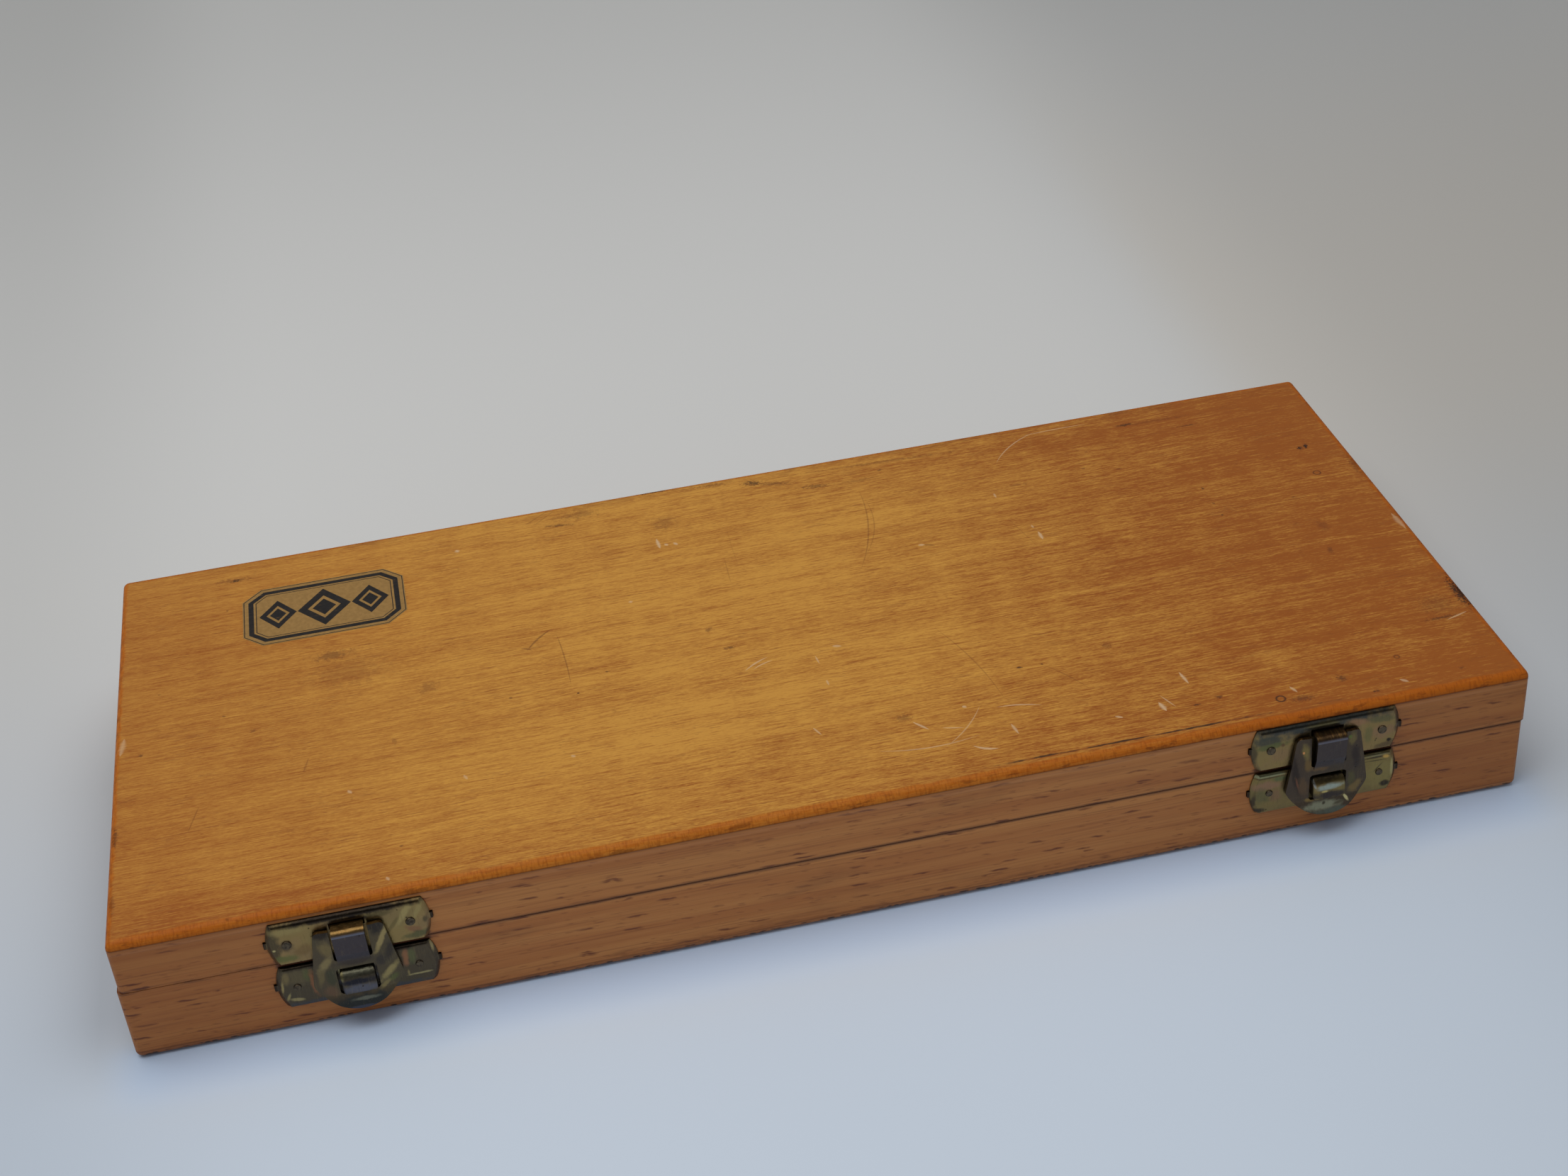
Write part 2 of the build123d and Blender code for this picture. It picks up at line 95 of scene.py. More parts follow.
# Radii that the sharp edges of the pieces are eased to.
WOOD_EASE = 0.25
BLOCK_EASE = 0.4
PLATE_EASE = 0.14
HASP_EASE = 0.2
HINGE_EASE = 0.15
EDGE_TURN = radians(32)  # an edge that turns by more than this is sharp
SHORT_WOOD_EDGE = 3  # edges of the case's wood that are shorter than this stay as they are
SHORT_BLOCK_EDGE = 2
WELD = 2e-7  # corners of the CAD's mesh that are nearer than this are one, in metres
FLAT_TURN = radians(0.4)  # faces that meet at less than this are one

# ---- small tools


def linear(value):
    """A display value from 0 to 255, made linear."""
    value /= 255
    return value / 12.92 if value <= 0.04045 else ((value + 0.055) / 1.055) ** 2.4


def tone(red, green, blue):
    return (linear(red), linear(green), linear(blue), 1)


TABLE_GLOW = 0.60  # how bright the table is that the latches' metal mirrors
ROOM_GLOW = 1.50  # and the room that their upward faces mirror


def metal_tone(red, green, blue):
    """The metal colour that shows as the given display values where it mirrors the table."""
    return tuple(min(linear(v) / TABLE_GLOW, 1) for v in (red, green, blue)) + (1,)


class Graph:
    """Adds nodes to a tree; an input takes a number, a tuple or another node's output."""

    def __init__(self, tree, metal=False):
        self.tree = tree
        self.metal = metal

    def node(self, kind, inputs=None, **settings):
        made = self.tree.nodes.new("ShaderNode" + kind)
        for name, value in settings.items():
            setattr(made, name, value)
        for name, value in (inputs or {}).items():
            self.feed(made.inputs[name], value)
        return made

    def feed(self, socket, value):
        if isinstance(value, bpy.types.NodeSocket):
            self.tree.links.new(value, socket)
        else:
            socket.default_value = value

    def math(self, operation, a, b=0, c=0):
        return self.node("Math", {0: a, 1: b, 2: c}, operation=operation).outputs[0]

    def times(self, *factors):
        return reduce(lambda a, b: self.math("MULTIPLY", a, b), factors)

    def most(self, *values):
        return reduce(lambda a, b: self.math("MAXIMUM", a, b), values)

    def least(self, *values):
        return reduce(lambda a, b: self.math("MINIMUM", a, b), values)

    def plus(self, a, b):
        return self.math("ADD", a, b)

    def less(self, a, b):
        return self.math("SUBTRACT", a, b)

    def over(self, a, b):
        return self.math("DIVIDE", a, b)

    def apart(self, a, b):
        """How far a is from b."""
        return self.math("ABSOLUTE", self.less(a, b))

    def strongest(self, value, *marks):
        """The most of value and of each mark's mask times its strength."""
        for mask, strength in marks:
            value = self.most(value, self.times(mask, strength))
        return value

    def vector(self, operation, a, b=(0, 0, 0), scale=1):
        made = self.node("VectorMath", {0: a, 1: b, 3: scale}, operation=operation)
        return made.outputs[1 if operation in ("LENGTH", "DOT_PRODUCT") else 0]

    def shade(self, colour):
        """Display values, made linear for this graph's kind of material; all else as it is."""
        shown = isinstance(colour, tuple) and len(colour) == 3
        return (metal_tone if self.metal else tone)(*colour) if shown else colour

    def mix(self, share, a, b, blend="MIX"):
        """A colour between a and b, each given by three display values, four linear ones or an
        output."""
        inputs = {0: share, 6: self.shade(a), 7: self.shade(b)}
        return self.node("Mix", inputs, data_type="RGBA", blend_type=blend).outputs[2]

    def tint(self, colour, shade, *masks):
        """The colour, turned into shade by the product of the masks."""
        return self.mix(self.times(*masks), colour, shade)

    def blend(self, share, a, b):
        """A number between a and b."""
        return self.node("Mix", {0: share, 2: a, 3: b}, data_type="FLOAT").outputs[0]

    def step(self, value, low, high, to_low=0, to_high=1):
        """A smooth step of value from low to high."""
        inputs = {0: value, 1: low, 2: high, 3: to_low, 4: to_high}
        made = self.node("MapRange", inputs, interpolation_type="SMOOTHSTEP", clamp=False)
        return made.outputs[0]

    def steps(self, *ranges):
        """The product of such steps, each from its value, low and high."""
        return self.times(*(self.step(*each) for each in ranges))

    def noise(self, vector, scale=1, detail=3, rough=0.5):
        inputs = {"Vector": vector, "Scale": scale, "Detail": detail, "Roughness": rough}
        return self.node("TexNoise", inputs).outputs[0]

    def stretched(self, vector, sizes, detail=3, rough=0.5):
        """Noise whose features are about sizes long in X, Y and Z."""
        share = tuple(1 / size for size in sizes)
        return self.noise(self.vector("MULTIPLY", vector, share), 1, detail, rough)

    def parts(self, vector):
        return self.node("SeparateXYZ", {0: vector}).outputs

    def join(self, x, y, z):
        return self.node("CombineXYZ", {0: x, 1: y, 2: z}).outputs[0]

    def group(self, tree, **inputs):
        made = self.node("Group", node_tree=tree)
        for name, value in inputs.items():
            self.feed(made.inputs[name], value)
        return made.outputs

    def grain(self, place, length, width, wave, detail=3):
        return self.group(GRAIN, Vector=place, Length=length, Width=width, Wave=wave, Detail=detail)[0]

    def flecks(self, place, length, width, share, size, slant=0):
        sizes = {"Length": length, "Width": width, "Size": size, "Slant": slant}
        return self.group(FLECKS, Vector=place, Share=share, **sizes)[0]


class Skin(Graph):
    def __init__(self, name, metal=False):
        self.material = bpy.data.materials.new(name)
        self.material.use_nodes = True
        super().__init__(self.material.node_tree, metal)
        self.tree.nodes.clear()
        self.shader = self.node("BsdfPrincipled")
        self.node("OutputMaterial", {"Surface": self.shader.outputs[0]})
        self.place = self.vector("SCALE", self.node("TexCoord").outputs["Object"], scale=1 / MM)

    def finish(self, colour, roughness, height, dent, shine=0.5, **inputs):
        """Feeds the shader: height runs from 0 to 1 and makes dents of that depth, shine is the
        specular level, and the other inputs are named with _ for a space."""
        bump = self.node("Bump", {"Height": height, "Distance": dent * MM, "Strength": 1.0})
        inputs.update(Base_Color=colour, Roughness=roughness, Normal=bump.outputs[0])
        inputs.update(Specular_IOR_Level=shine, Metallic=float(self.metal))
        for name, value in inputs.items():
            self.feed(self.shader.inputs[name.replace("_", " ")], value)
        return self.material


# ---- shared shader groups


def new_group(name, inputs, outputs):
    """An empty shader group with a Vector; a 3-tuple default makes a vector socket."""
    tree = bpy.data.node_groups.new(name, "ShaderNodeTree")
    for label, default in {"Vector": (0, 0, 0), **inputs}.items():
        kind = "NodeSocketVector" if isinstance(default, tuple) else "NodeSocketFloat"
        tree.interface.new_socket(label, in_out="INPUT", socket_type=kind).default_value = default
    for label, kind in outputs.items():
        tree.interface.new_socket(label, in_out="OUTPUT", socket_type="NodeSocket" + kind)
    start = tree.nodes.new("NodeGroupInput").outputs
    end = tree.nodes.new("NodeGroupOutput").inputs
    return tree, Graph(tree), start, end


def squeezed(g, start, shift):
    """The group's Vector, in steps of Length along X and of Width across, shifted in Y and Z."""
    x, y, z = g.parts(start["Vector"])
    across = g.over(g.plus(y, shift), start["Width"])
    deep = g.over(g.plus(z, shift), start["Width"])
    return g.join(g.over(x, start["Length"]), across, deep)


def build_grain():
    """Streaks: noise squeezed to Length along the grain and Width across it, gently waved."""
    inputs = {"Length": 10, "Width": 1, "Wave": 1, "Detail": 4.0}
    tree, g, start, end = new_group("grain streaks", inputs, {"Streak": "Float"})
    drift = g.stretched(start["Vector"], (90, 30, 30), 2)
    bend = g.times(g.less(drift, 0.5), start["Wave"])
    g.feed(end["Streak"], g.noise(squeezed(g, start, bend), 1, start["Detail"], 0.55))
    return tree


def build_flecks():
    """Short dashes: cells stretched along the grain, dark near each cell's own point. Share is how
    many of the cells have one, Size how much of the cell it fills."""
    inputs = {"Length": 4, "Width": 0.7, "Share": 0.5, "Size": 0.3, "Slant": 0.0}
    tree, g, start, end = new_group("grain flecks", inputs, {"Fleck": "Float"})
    wander = g.times(g.noise(start["Vector"], 0.35, 2), 0.9)
    shear = g.plus(wander, g.times(g.parts(start["Vector"])[0], start["Slant"]))
    cell = g.node("TexVoronoi", {"Vector": squeezed(g, start, shear), "Scale": 1.0})
    near = g.over(cell.outputs["Distance"], start["Size"])
    pick = g.node("SeparateColor", {0: cell.outputs["Color"]}).outputs[0]
    kept = g.math("LESS_THAN", pick, start["Share"])
    g.feed(end["Fleck"], g.times(g.step(near, 1, 0.35), kept))
    return tree


def mark_group(name, **more):
    """A group for a mark about Middle, and its u and v: how far a place is from Middle, counted
    along Along and Across, which are each as long as one over the mark's half size."""
    inputs = {"Middle": (0, 0, 0), "Along": (1, 0, 0), "Across": (0, 1, 0)}
    tree, g, start, end = new_group(name, {**inputs, "Broken": 0.5, **more}, {"Mask": "Float"})
    off = g.vector("SUBTRACT", start["Vector"], start["Middle"])
    u = g.vector("DOT_PRODUCT", off, start["Along"])
    v = g.vector("DOT_PRODUCT", off, start["Across"])
    return tree, g, start, end, u, v


def build_spot(name, ragged, outside, inside):
    """A soft spot that fades between two shares of its half sizes, its rim ragged by Broken."""
    tree, g, start, end, u, v = mark_group(name)
    far = g.vector("LENGTH", g.join(u, v, 0))
    rough = g.times(g.less(start["Broken"], 0.5), ragged)
    g.feed(end["Mask"], g.step(g.plus(far, rough), outside, inside))
    return tree


def build_scratch():
    """A bowed line: u runs from -1 to 1 along it and v across it; the line lies where
    v = Bow (1 - u^2) and is Width (0.7 (1 - u^2) + Broken) wide, so it thins out past its ends."""
    tree, g, start, end, u, v = mark_group("scratch", Width=0.15, Bow=0)
    arch = g.less(1, g.times(u, u))
    far = g.apart(v, g.times(arch, start["Bow"]))
    wide = g.times(start["Width"], g.math("MULTIPLY_ADD", arch, 0.7, start["Broken"]))
    g.feed(end["Mask"], g.less(1, g.step(far, 0, g.most(wide, 0.001))))
    return tree


def build_ring():
    """A small circle of the Radius, as a tube's end prints it."""
    tree, g, start, end, u, v = mark_group("ring", Radius=0.85, Width=0.25)
    off = g.apart(g.vector("LENGTH", g.join(u, v, 0)), start["Radius"])
    wide = g.times(start["Width"], g.plus(start["Broken"], 0.5))
    g.feed(end["Mask"], g.less(1, g.step(off, 0, wide)))
    return tree


def build_tarnish():
    """Yellow passivated steel: ochre, rose and green drift into each other, dark spots on top."""
    outputs = {"Color": "Color", "Grime": "Float"}
    tree, g, start, end = new_group("passivation tints", {"Patch": 8, "Grime": 0.5}, outputs)
    g.metal = True
    scaled = g.vector("SCALE", start["Vector"], scale=g.over(1, start["Patch"]))
    tints = g.node("ValToRGB", {0: g.noise(scaled, 1, 2, 0.4)})
    stops = [
        (0.34, (92, 72, 62)), (0.43, (116, 92, 66)), (0.5, (110, 92, 58)),
        (0.57, (106, 94, 60)), (0.63, (88, 84, 58)), (0.72, (80, 70, 56)),
    ]
    ramp = tints.color_ramp
    while len(ramp.elements) < len(stops):
        ramp.elements.new(0.5)
    for element, (place, shade) in zip(ramp.elements, stops):
        element.position = place
        element.color = g.shade(shade)
    spots = g.step(g.noise(start["Vector"], 1.5, 4, 0.7), 0.6, 0.72)
    dirt = g.times(spots, start["Grime"])
    g.feed(end["Color"], g.tint(tints.outputs[0], (46, 40, 34), dirt))
    g.feed(end["Grime"], dirt)
    return tree


GRAIN = build_grain()
FLECKS = build_flecks()
SMUDGE = build_spot("smudge", 2.6, 1, 0.15)
PATCH = build_spot("tarnish patch", 1, 1.3, 0.45)
SCRATCH = build_scratch()
RING = build_ring()
TARNISH = build_tarnish()

# ---- marks


def mark(g, tree, place, middle, half, turn, **inputs):
    """A mark's mask, of half sizes along and across; turn is in radians."""
    c, s = cos(turn), sin(turn)
    along = (c / half[0], s / half[0], 0)
    across = (-s / half[1], c / half[1], 0)
    return g.group(tree, Vector=place, Middle=middle, Along=along, Across=across, **inputs)[0]


def on_lid(x, y):
    """A place on the lid, given from its front left corner."""
    return (LEFT_X + x, FRONT_Y + y, 0)


# What has marked the lid: x, y from its front left corner, half sizes, turn in degrees, strength
# and the size of the speckles that break it up.
STAINS = [
    (27.3, 125.8, 2.2, 0.8, -2, 0.85, 0.6), (26.5, 126, 7, 1.3, -2, 0.4, 0.9),
    (49, 86.5, 6.5, 2.6, 0, 0.5, 0.9), (52, 79, 13, 7.5, 0, 0.24, 1.3),
    (131, 133.2, 6, 0.9, 0, 0.8, 0.6), (146, 131.5, 6, 1.3, -3, 0.45, 0.6),
    (156, 129.2, 3.6, 1.7, -12, 0.75, 0.6), (161, 127.2, 6, 1.3, -10, 0.5, 0.6),
    (106, 125.3, 4.4, 0.8, -9, 0.62, 0.9), (112, 129, 6.5, 3.4, 0, 0.4, 0.9),
    (131.5, 118, 4.4, 3.6, 0, 0.34, 0.9), (170.5, 122.7, 5, 1.2, -8, 0.55, 0.6),
    (182, 121.8, 6.5, 1, 0, 0.34, 0.9), (187.7, 125, 0.9, 0.6, 0, 0.6, 0.6),
    (190, 128.6, 27, 0.7, -3, 0.42, 0.9), (252.3, 126, 3.2, 0.9, 0, 0.72, 0.9),
    (259, 125.6, 12, 0.9, -1, 0.34, 0.9), (267, 120.7, 4.6, 0.5, 0, 0.55, 0.9),
    (238.8, 116.7, 0.5, 0.5, 0, 0.6, 0.6), (235.8, 109.3, 0.6, 0.4, 0, 0.6, 0.6),
    (243.8, 106.5, 1.3, 0.5, -10, 0.55, 0.6), (289, 101.3, 0.9, 1.1, 0, 1, 0.6),
    (290.7, 101.7, 0.8, 1.4, -20, 1, 0.6), (260.2, 91.1, 0.5, 0.9, 20, 0.75, 0.6),
    (260.2, 84, 0.4, 0.6, 0, 0.6, 0.6), (260.3, 78.5, 0.4, 0.5, 0, 0.7, 0.6),
    (279, 80.6, 0.8, 0.4, 0, 0.6, 0.6), (217.7, 107.1, 3.5, 0.8, 0, 0.34, 0.9),
    (134.2, 69.8, 1.2, 1.3, 0, 0.5, 0.9), (137.3, 61.4, 1.6, 0.9, 0, 0.65, 0.6),
    (101.9, 54.7, 0.6, 0.5, 0, 0.8, 0.6), (109.2, 60.8, 0.8, 0.35, 0, 0.7, 0.6),
    (69.6, 67.5, 3.2, 3.2, -30, 0.34, 0.9), (30.4, 62.9, 1, 0.8, 0, 0.5, 0.6),
    (6, 61.4, 0.9, 0.8, 0, 0.6, 0.6), (9.6, 83.3, 0.8, 0.35, -20, 0.6, 0.6),
    (25.2, 113, 0.4, 0.6, 0, 0.5, 0.6), (217.7, 36.4, 1.6, 1.8, 0, 0.4, 0.6),
    (197.2, 34.3, 1, 0.45, 0, 0.9, 0.6), (202.2, 34.1, 0.5, 0.35, 0, 0.8, 0.6),
    (280.8, 66.7, 1.7, 3.2, 0, 0.34, 0.9), (278.5, 56.7, 1, 2.4, -10, 0.45, 0.6),
    (168.5, 24.4, 2.4, 1.7, 0, 0.45, 0.6), (234.6, 11.3, 1.1, 0.8, 0, 0.6, 0.6),
    (229.2, 10.1, 1.3, 0.4, 0, 0.75, 0.6), (261.5, 9.8, 1.5, 1.6, 0, 0.62, 0.6),
    (251, 5.6, 4, 1.6, 0, 0.55, 0.6), (266.5, 3.3, 1.3, 0.5, 0, 0.75, 0.6),
    (287, 5.6, 1, 0.7, 0, 0.5, 0.6), (291, 24, 6, 0.8, 0, 0.6, 0.6),
    (292, 29, 6, 5, 0, 0.34, 0.6), (60.8, 49.8, 1, 1.8, 0, 0.34, 0.9),
    (298.4, 90, 1.3, 7, 0, 0.5, 0.6), (1.2, 34, 0.9, 4.5, 0, 0.6, 0.6),
    (1.2, 12, 0.8, 5, 0, 0.5, 0.6),
]
# Round prints of a small tube's end: x, y, radius, line width, strength.
RINGS = [
    (288.5, 89.2, 0.85, 0.3, 0.75), (246.6, 6.8, 0.95, 0.45, 0.85),
    (275.6, 13.4, 0.55, 0.35, 0.6),
]
# Scratches: from x, y to x, y, width, bow, and how light (1) or dark (0) they are.
SCRATCHES = [
    (93.2, 75.2, 98.2, 80.7, 0.45, 0.3, 0), (91.8, 75.6, 93.6, 74.6, 0.4, 0.1, 0),
    (93, 75, 97, 75.2, 0.3, 0.2, 0.15), (100.2, 76.7, 100.8, 60.6, 0.26, 0.2, 0.1),
    (174.6, 86.7, 180.4, 112.9, 0.3, -1.2, 0.15), (176.4, 90, 181.2, 110, 0.22, -1.4, 0.22),
    (142.5, 88, 142.8, 97, 0.22, 0, 0.3), (145.5, 95, 145.7, 108, 0.2, 0.1, 0.4),
    (212, 92, 214.5, 81, 0.2, 0, 0.3), (217.3, 120.6, 227.7, 129.4, 0.25, 0.9, 0.75),
    (227.7, 129.4, 241, 129.8, 0.25, 0.2, 0.65), (128.6, 111, 128.8, 107.4, 0.6, 0, 1),
    (130.2, 108.6, 130.8, 107.8, 0.6, 0, 0.9), (132.4, 108.4, 133.1, 107.4, 0.55, 0, 0.9),
    (80.7, 122.2, 81.1, 121.2, 0.8, 0, 0.85), (118.4, 87, 118.6, 86.3, 0.7, 0, 0.7),
    (139.6, 52.1, 144, 54.9, 0.3, 0.2, 0.9), (141.4, 51.9, 145.2, 53.6, 0.25, 0.2, 0.85),
    (216.9, 85, 217, 82.2, 0.6, 0, 0.95), (216.2, 88.6, 216.3, 87.4, 0.35, 0, 0.7),
    (211.6, 105, 211.6, 103.4, 0.4, 0, 0.7), (188.4, 88.7, 189.6, 88.5, 0.5, 0, 0.9),
    (189.6, 88.5, 191.8, 87.6, 0.6, 0, 0.1), (184.6, 51.4, 190.6, 27.5, 0.26, 0.8, 0.22),
    (203, 32.9, 208.8, 23.7, 0.24, 0.3, 0.2), (170.2, 22.1, 172.4, 19.2, 0.4, 0, 0.9),
    (175.9, 18.4, 179.4, 17.4, 0.28, 0, 0.7), (162.6, 14.2, 180, 13.4, 0.24, -1, 0.7),
    (176, 13, 184.4, 22.4, 0.22, -0.6, 0.6), (180.6, 10.2, 184.4, 8.4, 0.45, -0.3, 0.95),
    (181.6, 24.6, 182.2, 24, 0.6, 0, 0.9), (189.4, 22, 196.8, 20.4, 0.3, 0.3, 0.8),
    (189.8, 15.2, 190.3, 12.2, 0.5, 0, 0.8), (229.5, 21.8, 230, 18.2, 0.5, 0, 0.95),
    (221.8, 13, 222.3, 10.4, 0.75, 0, 1), (223, 15, 224.5, 11.4, 0.25, 0, 0.7),
    (211.6, 11.4, 212.8, 10.6, 0.5, 0, 0.8), (250, 10, 250.7, 8.2, 0.5, 0, 0.8),
    (273, 5.6, 274.2, 4.6, 0.6, 0, 0.75), (159.8, 54.8, 161.4, 54.3, 0.6, 0, 0.7),
    (155.2, 52, 155.4, 49.6, 0.3, 0, 0.7), (155.6, 42.6, 155.7, 41, 0.35, 0, 0.7),
    (50, 35.2, 50.6, 34.2, 0.6, 0, 0.75), (74.5, 33, 75, 31.6, 0.5, 0, 0.6),
    (97.6, 33, 98.2, 32.2, 0.6, 0, 0.6), (149.2, 26.6, 150.2, 24.2, 0.3, 0, 0.8),
    (56.2, 4.6, 56.6, 3.6, 0.5, 0, 0.7), (99, 128.6, 104.6, 133, 0.26, 0, 0.15),
    (100.8, 127.6, 105.6, 132, 0.22, 0, 0.2), (16.6, 32, 18.4, 38.4, 0.24, 0, 0.15),
    (41, 45, 42, 48.6, 0.34, 0, 0.2), (292, 23, 296.4, 24.4, 0.3, 0, 0.8),
    (297.8, 66, 298.2, 60.4, 0.9, 0, 0.55), (2.2, 68, 1.6, 63, 0.9, 0, 0.55),
]


def lid_marks(g, place):
    """Adds up the stains, rings and dark and light scratches of the lid."""
    broken = {size: g.noise(place, 1 / size, 4, 0.65) for size in (0.6, 0.9, 1.3)}
    dark = 0.0
    for x, y, long, wide, turn, strength, speck in STAINS:
        mask = mark(g, SMUDGE, place, on_lid(x, y), (long, wide), radians(turn), Broken=broken[speck])
        dark = g.strongest(dark, (mask, strength))
    for x, y, radius, width, strength in RINGS:
        sizes = {"Radius": radius, "Width": width, "Broken": broken[0.6]}
        mask = mark(g, RING, place, on_lid(x, y), (1, 1), 0, **sizes)
        dark = g.strongest(dark, (mask, strength))
    light = 0.0
    for x0, y0, x1, y1, width, bow, pale in SCRATCHES:
        half = (hypot(x1 - x0, y1 - y0) / 2, 1)
        middle = on_lid((x0 + x1) / 2, (y0 + y1) / 2)
        sizes = {"Width": width, "Bow": bow, "Broken": broken[0.9]}
        mask = mark(g, SCRATCH, place, middle, half, atan2(y1 - y0, x1 - x0), **sizes)
        if pale >= 0.5:
            light = g.strongest(light, (mask, pale * 0.75))
        else:
            dark = g.strongest(dark, (mask, 0.55 - pale))
    return dark, light


# ---- wood

VARNISH_SHINE = 0.30  # specular levels
BARE_SHINE = 0.25
LATCH_SHADOW = (16.4, 15.2)  # behind a latch the seam is painted dark, as in its shadow, as far as this from its middle
# Streaks of the lid: how much they colour it, length, width, wave, detail.
LID_STREAKS = [
    (0.8, 120, 13, 8, 3), (0.65, 60, 3.2, 6, 4), (0.65, 20, 1.2, 4, 3),
    (1.5, 3, 0.28, 1.5, 3), (1, 0.9, 0.34, 1, 2),
]


def varnished_top():
    """The lid's plywood: amber varnish, fine streaks along X, redder to the right and the front, with
    a painted sheen that keeps the middle lightest.
    """
    g = Skin("varnished_plywood_lid")
    place = g.place
    x, y, z = g.parts(place)
    fine = g.grain(place, 8, 0.4, 2.5, 4)
    ticks = g.grain(place, 5.5, 0.5, 2, 2)
    patches = g.stretched(place, (14, 5, 5))

    # Partly painted sheen: the middle of the lid is painted lightest, where its varnish mirrors the
    # light; the right end and the front edge are the reddest.
    red = g.plus(g.times(g.step(x, -10, 152), 0.74), 0.25)
    red = g.plus(red, g.times(g.step(x, -40, -150), 0.36))
    red = g.plus(red, g.times(g.step(y, -38, -67), 0.22))
    flames = g.stretched(place, (7, 26, 26))
    streaky = g.plus(g.times(g.less(flames, 0.5), 0.5), g.times(g.less(fine, 0.5), 1.25))
    for share, *sizes in LID_STREAKS:
        streaky = g.plus(streaky, g.times(g.less(g.grain(place, *sizes), 0.5), share))
    red = g.plus(red, g.times(streaky, g.step(x, -150, -10, 0.62, 1)))
    colour = g.mix(g.least(g.most(red, 0), 1), (211, 151, 62), (156, 85, 19))
    tick = (122, 62, 14)
    dash = g.steps((ticks, 0.56, 0.7), (patches, 0.4, 0.62))
    colour = g.tint(colour, tick, dash, 0.3)
    colour = g.tint(colour, tick, g.step(fine, 0.56, 0.74), 0.2)
    slanted = g.flecks(place, 3.2, 0.55, 0.3, 0.32, 0.22)
    colour = g.tint(colour, tick, slanted, g.step(patches, 0.42, 0.6), 0.42)

    # Rounded edges: redder varnish and crossways fibres over the edge, grime and chips along it.
    rim_x = g.less(RIGHT_X, g.math("ABSOLUTE", x))
    rim_back = g.less(BACK_Y, y)
    rim = g.least(rim_x, g.less(y, FRONT_Y), rim_back)
    ragged = g.stretched(place, (6, 3, 1.6), 5, 0.6)
    edge = g.step(g.plus(rim, g.times(g.less(ragged, 0.5), 1.4)), 2.1, 1.2)
    colour = g.tint(colour, (184, 96, 20), edge, 0.66)
    fibres = g.step(g.stretched(place, (0.5, 2.2, 2.2), 3, 0.6), 0.47, 0.62)
    colour = g.tint(colour, (118, 48, 12), edge, fibres, 0.3)
    back_grime = g.steps((rim_back, 6, 0), (ragged, 0.46, 0.66))
    end_grime = g.steps((rim_x, 2.4, 0), (ragged, 0.5, 0.62))
    back_line = g.steps((rim_back, 0.9, 0.3), (ragged, 0.4, 0.55))
    chips = g.steps((rim, 1.1, 0.2), (ragged, 0.56, 0.62))

    dark, light = lid_marks(g, place)
    sharp = g.noise(place, 1.9, 4, 0.7)
    crack = mark(g, SMUDGE, place, on_lid(211, 2.9), (42, 0.5), 0, Broken=ragged)
    bruise = mark(g, SMUDGE, place, on_lid(298.8, 32), (2.4, 9), 0, Broken=sharp)
    specks = g.flecks(place, 9, 7, 0.1, 0.07)
    dark = g.strongest(
        dark, (crack, 0.92), (bruise, 0.95), (specks, 0.55), (back_grime, 0.4), (end_grime, 0.5),
        (back_line, 0.6), (chips, 0.45),
    )
    stain = g.mix(g.step(dark, 0.2, 0.8), (104, 48, 16), (52, 31, 19))
    colour = g.mix(dark, colour, stain)
    colour = g.mix(light, colour, (222, 190, 150))

    # The dark glue line under the panel.
    glue = g.step(g.less(z, TOP_LOW.z), 0.36, 0.08)
    colour = g.tint(colour, (72, 38, 20), glue, 0.55)
    gloss = g.blend(g.noise(place, 0.05, 4, 0.6), 0.42, 0.56)
    height = g.less(g.times(fine, -0.5), g.times(dash, 0.4))
    shine = g.less(VARNISH_SHINE, g.times(edge, 0.2))
    rough = g.plus(gloss, g.times(dark, 0.25))
    return g.finish(colour, rough, height, 0.05, shine)


def beech(name, light, deep, fleck, varnished, along_y=False):
    """Solid beech: straight soft bands, fine lines, short dark flecks that lean a little."""
    g = Skin(name)
    place = grain = g.place
    if along_y:
        x, y, z = g.parts(place)
        grain = g.join(y, x, z)
    bands = g.grain(grain, 150, 3.2, 4)
    lines = g.grain(grain, 34, 0.42, 3)
    large = g.flecks(grain, 10, 1.15, 0.5, 0.34, 0.05)
    small = g.flecks(grain, 5, 0.62, 0.5, 0.34, 0.05)
    patch = g.stretched(grain, (34, 11, 11), 2)
    colour = g.mix(g.step(bands, 0.32, 0.68), light, deep)
    colour = g.tint(colour, fleck, g.step(lines, 0.48, 0.7), 0.34)
    colour = g.tint(colour, fleck, small, 0.4)
    colour = g.tint(colour, fleck, large, g.step(patch, 0.36, 0.58, 0.4, 0.95))
    if varnished:
        colour = marked_and_shaded(g, place, colour)
    low, high, shine = (0.42, 0.55, VARNISH_SHINE) if varnished else (0.62, 0.75, BARE_SHINE)
    rough = g.blend(g.noise(place, 0.06, 4, 0.6), low, high)
    height = g.plus(g.times(lines, -0.6), g.times(large, -0.3))
    return g.finish(colour, rough, height, 0.05, shine)


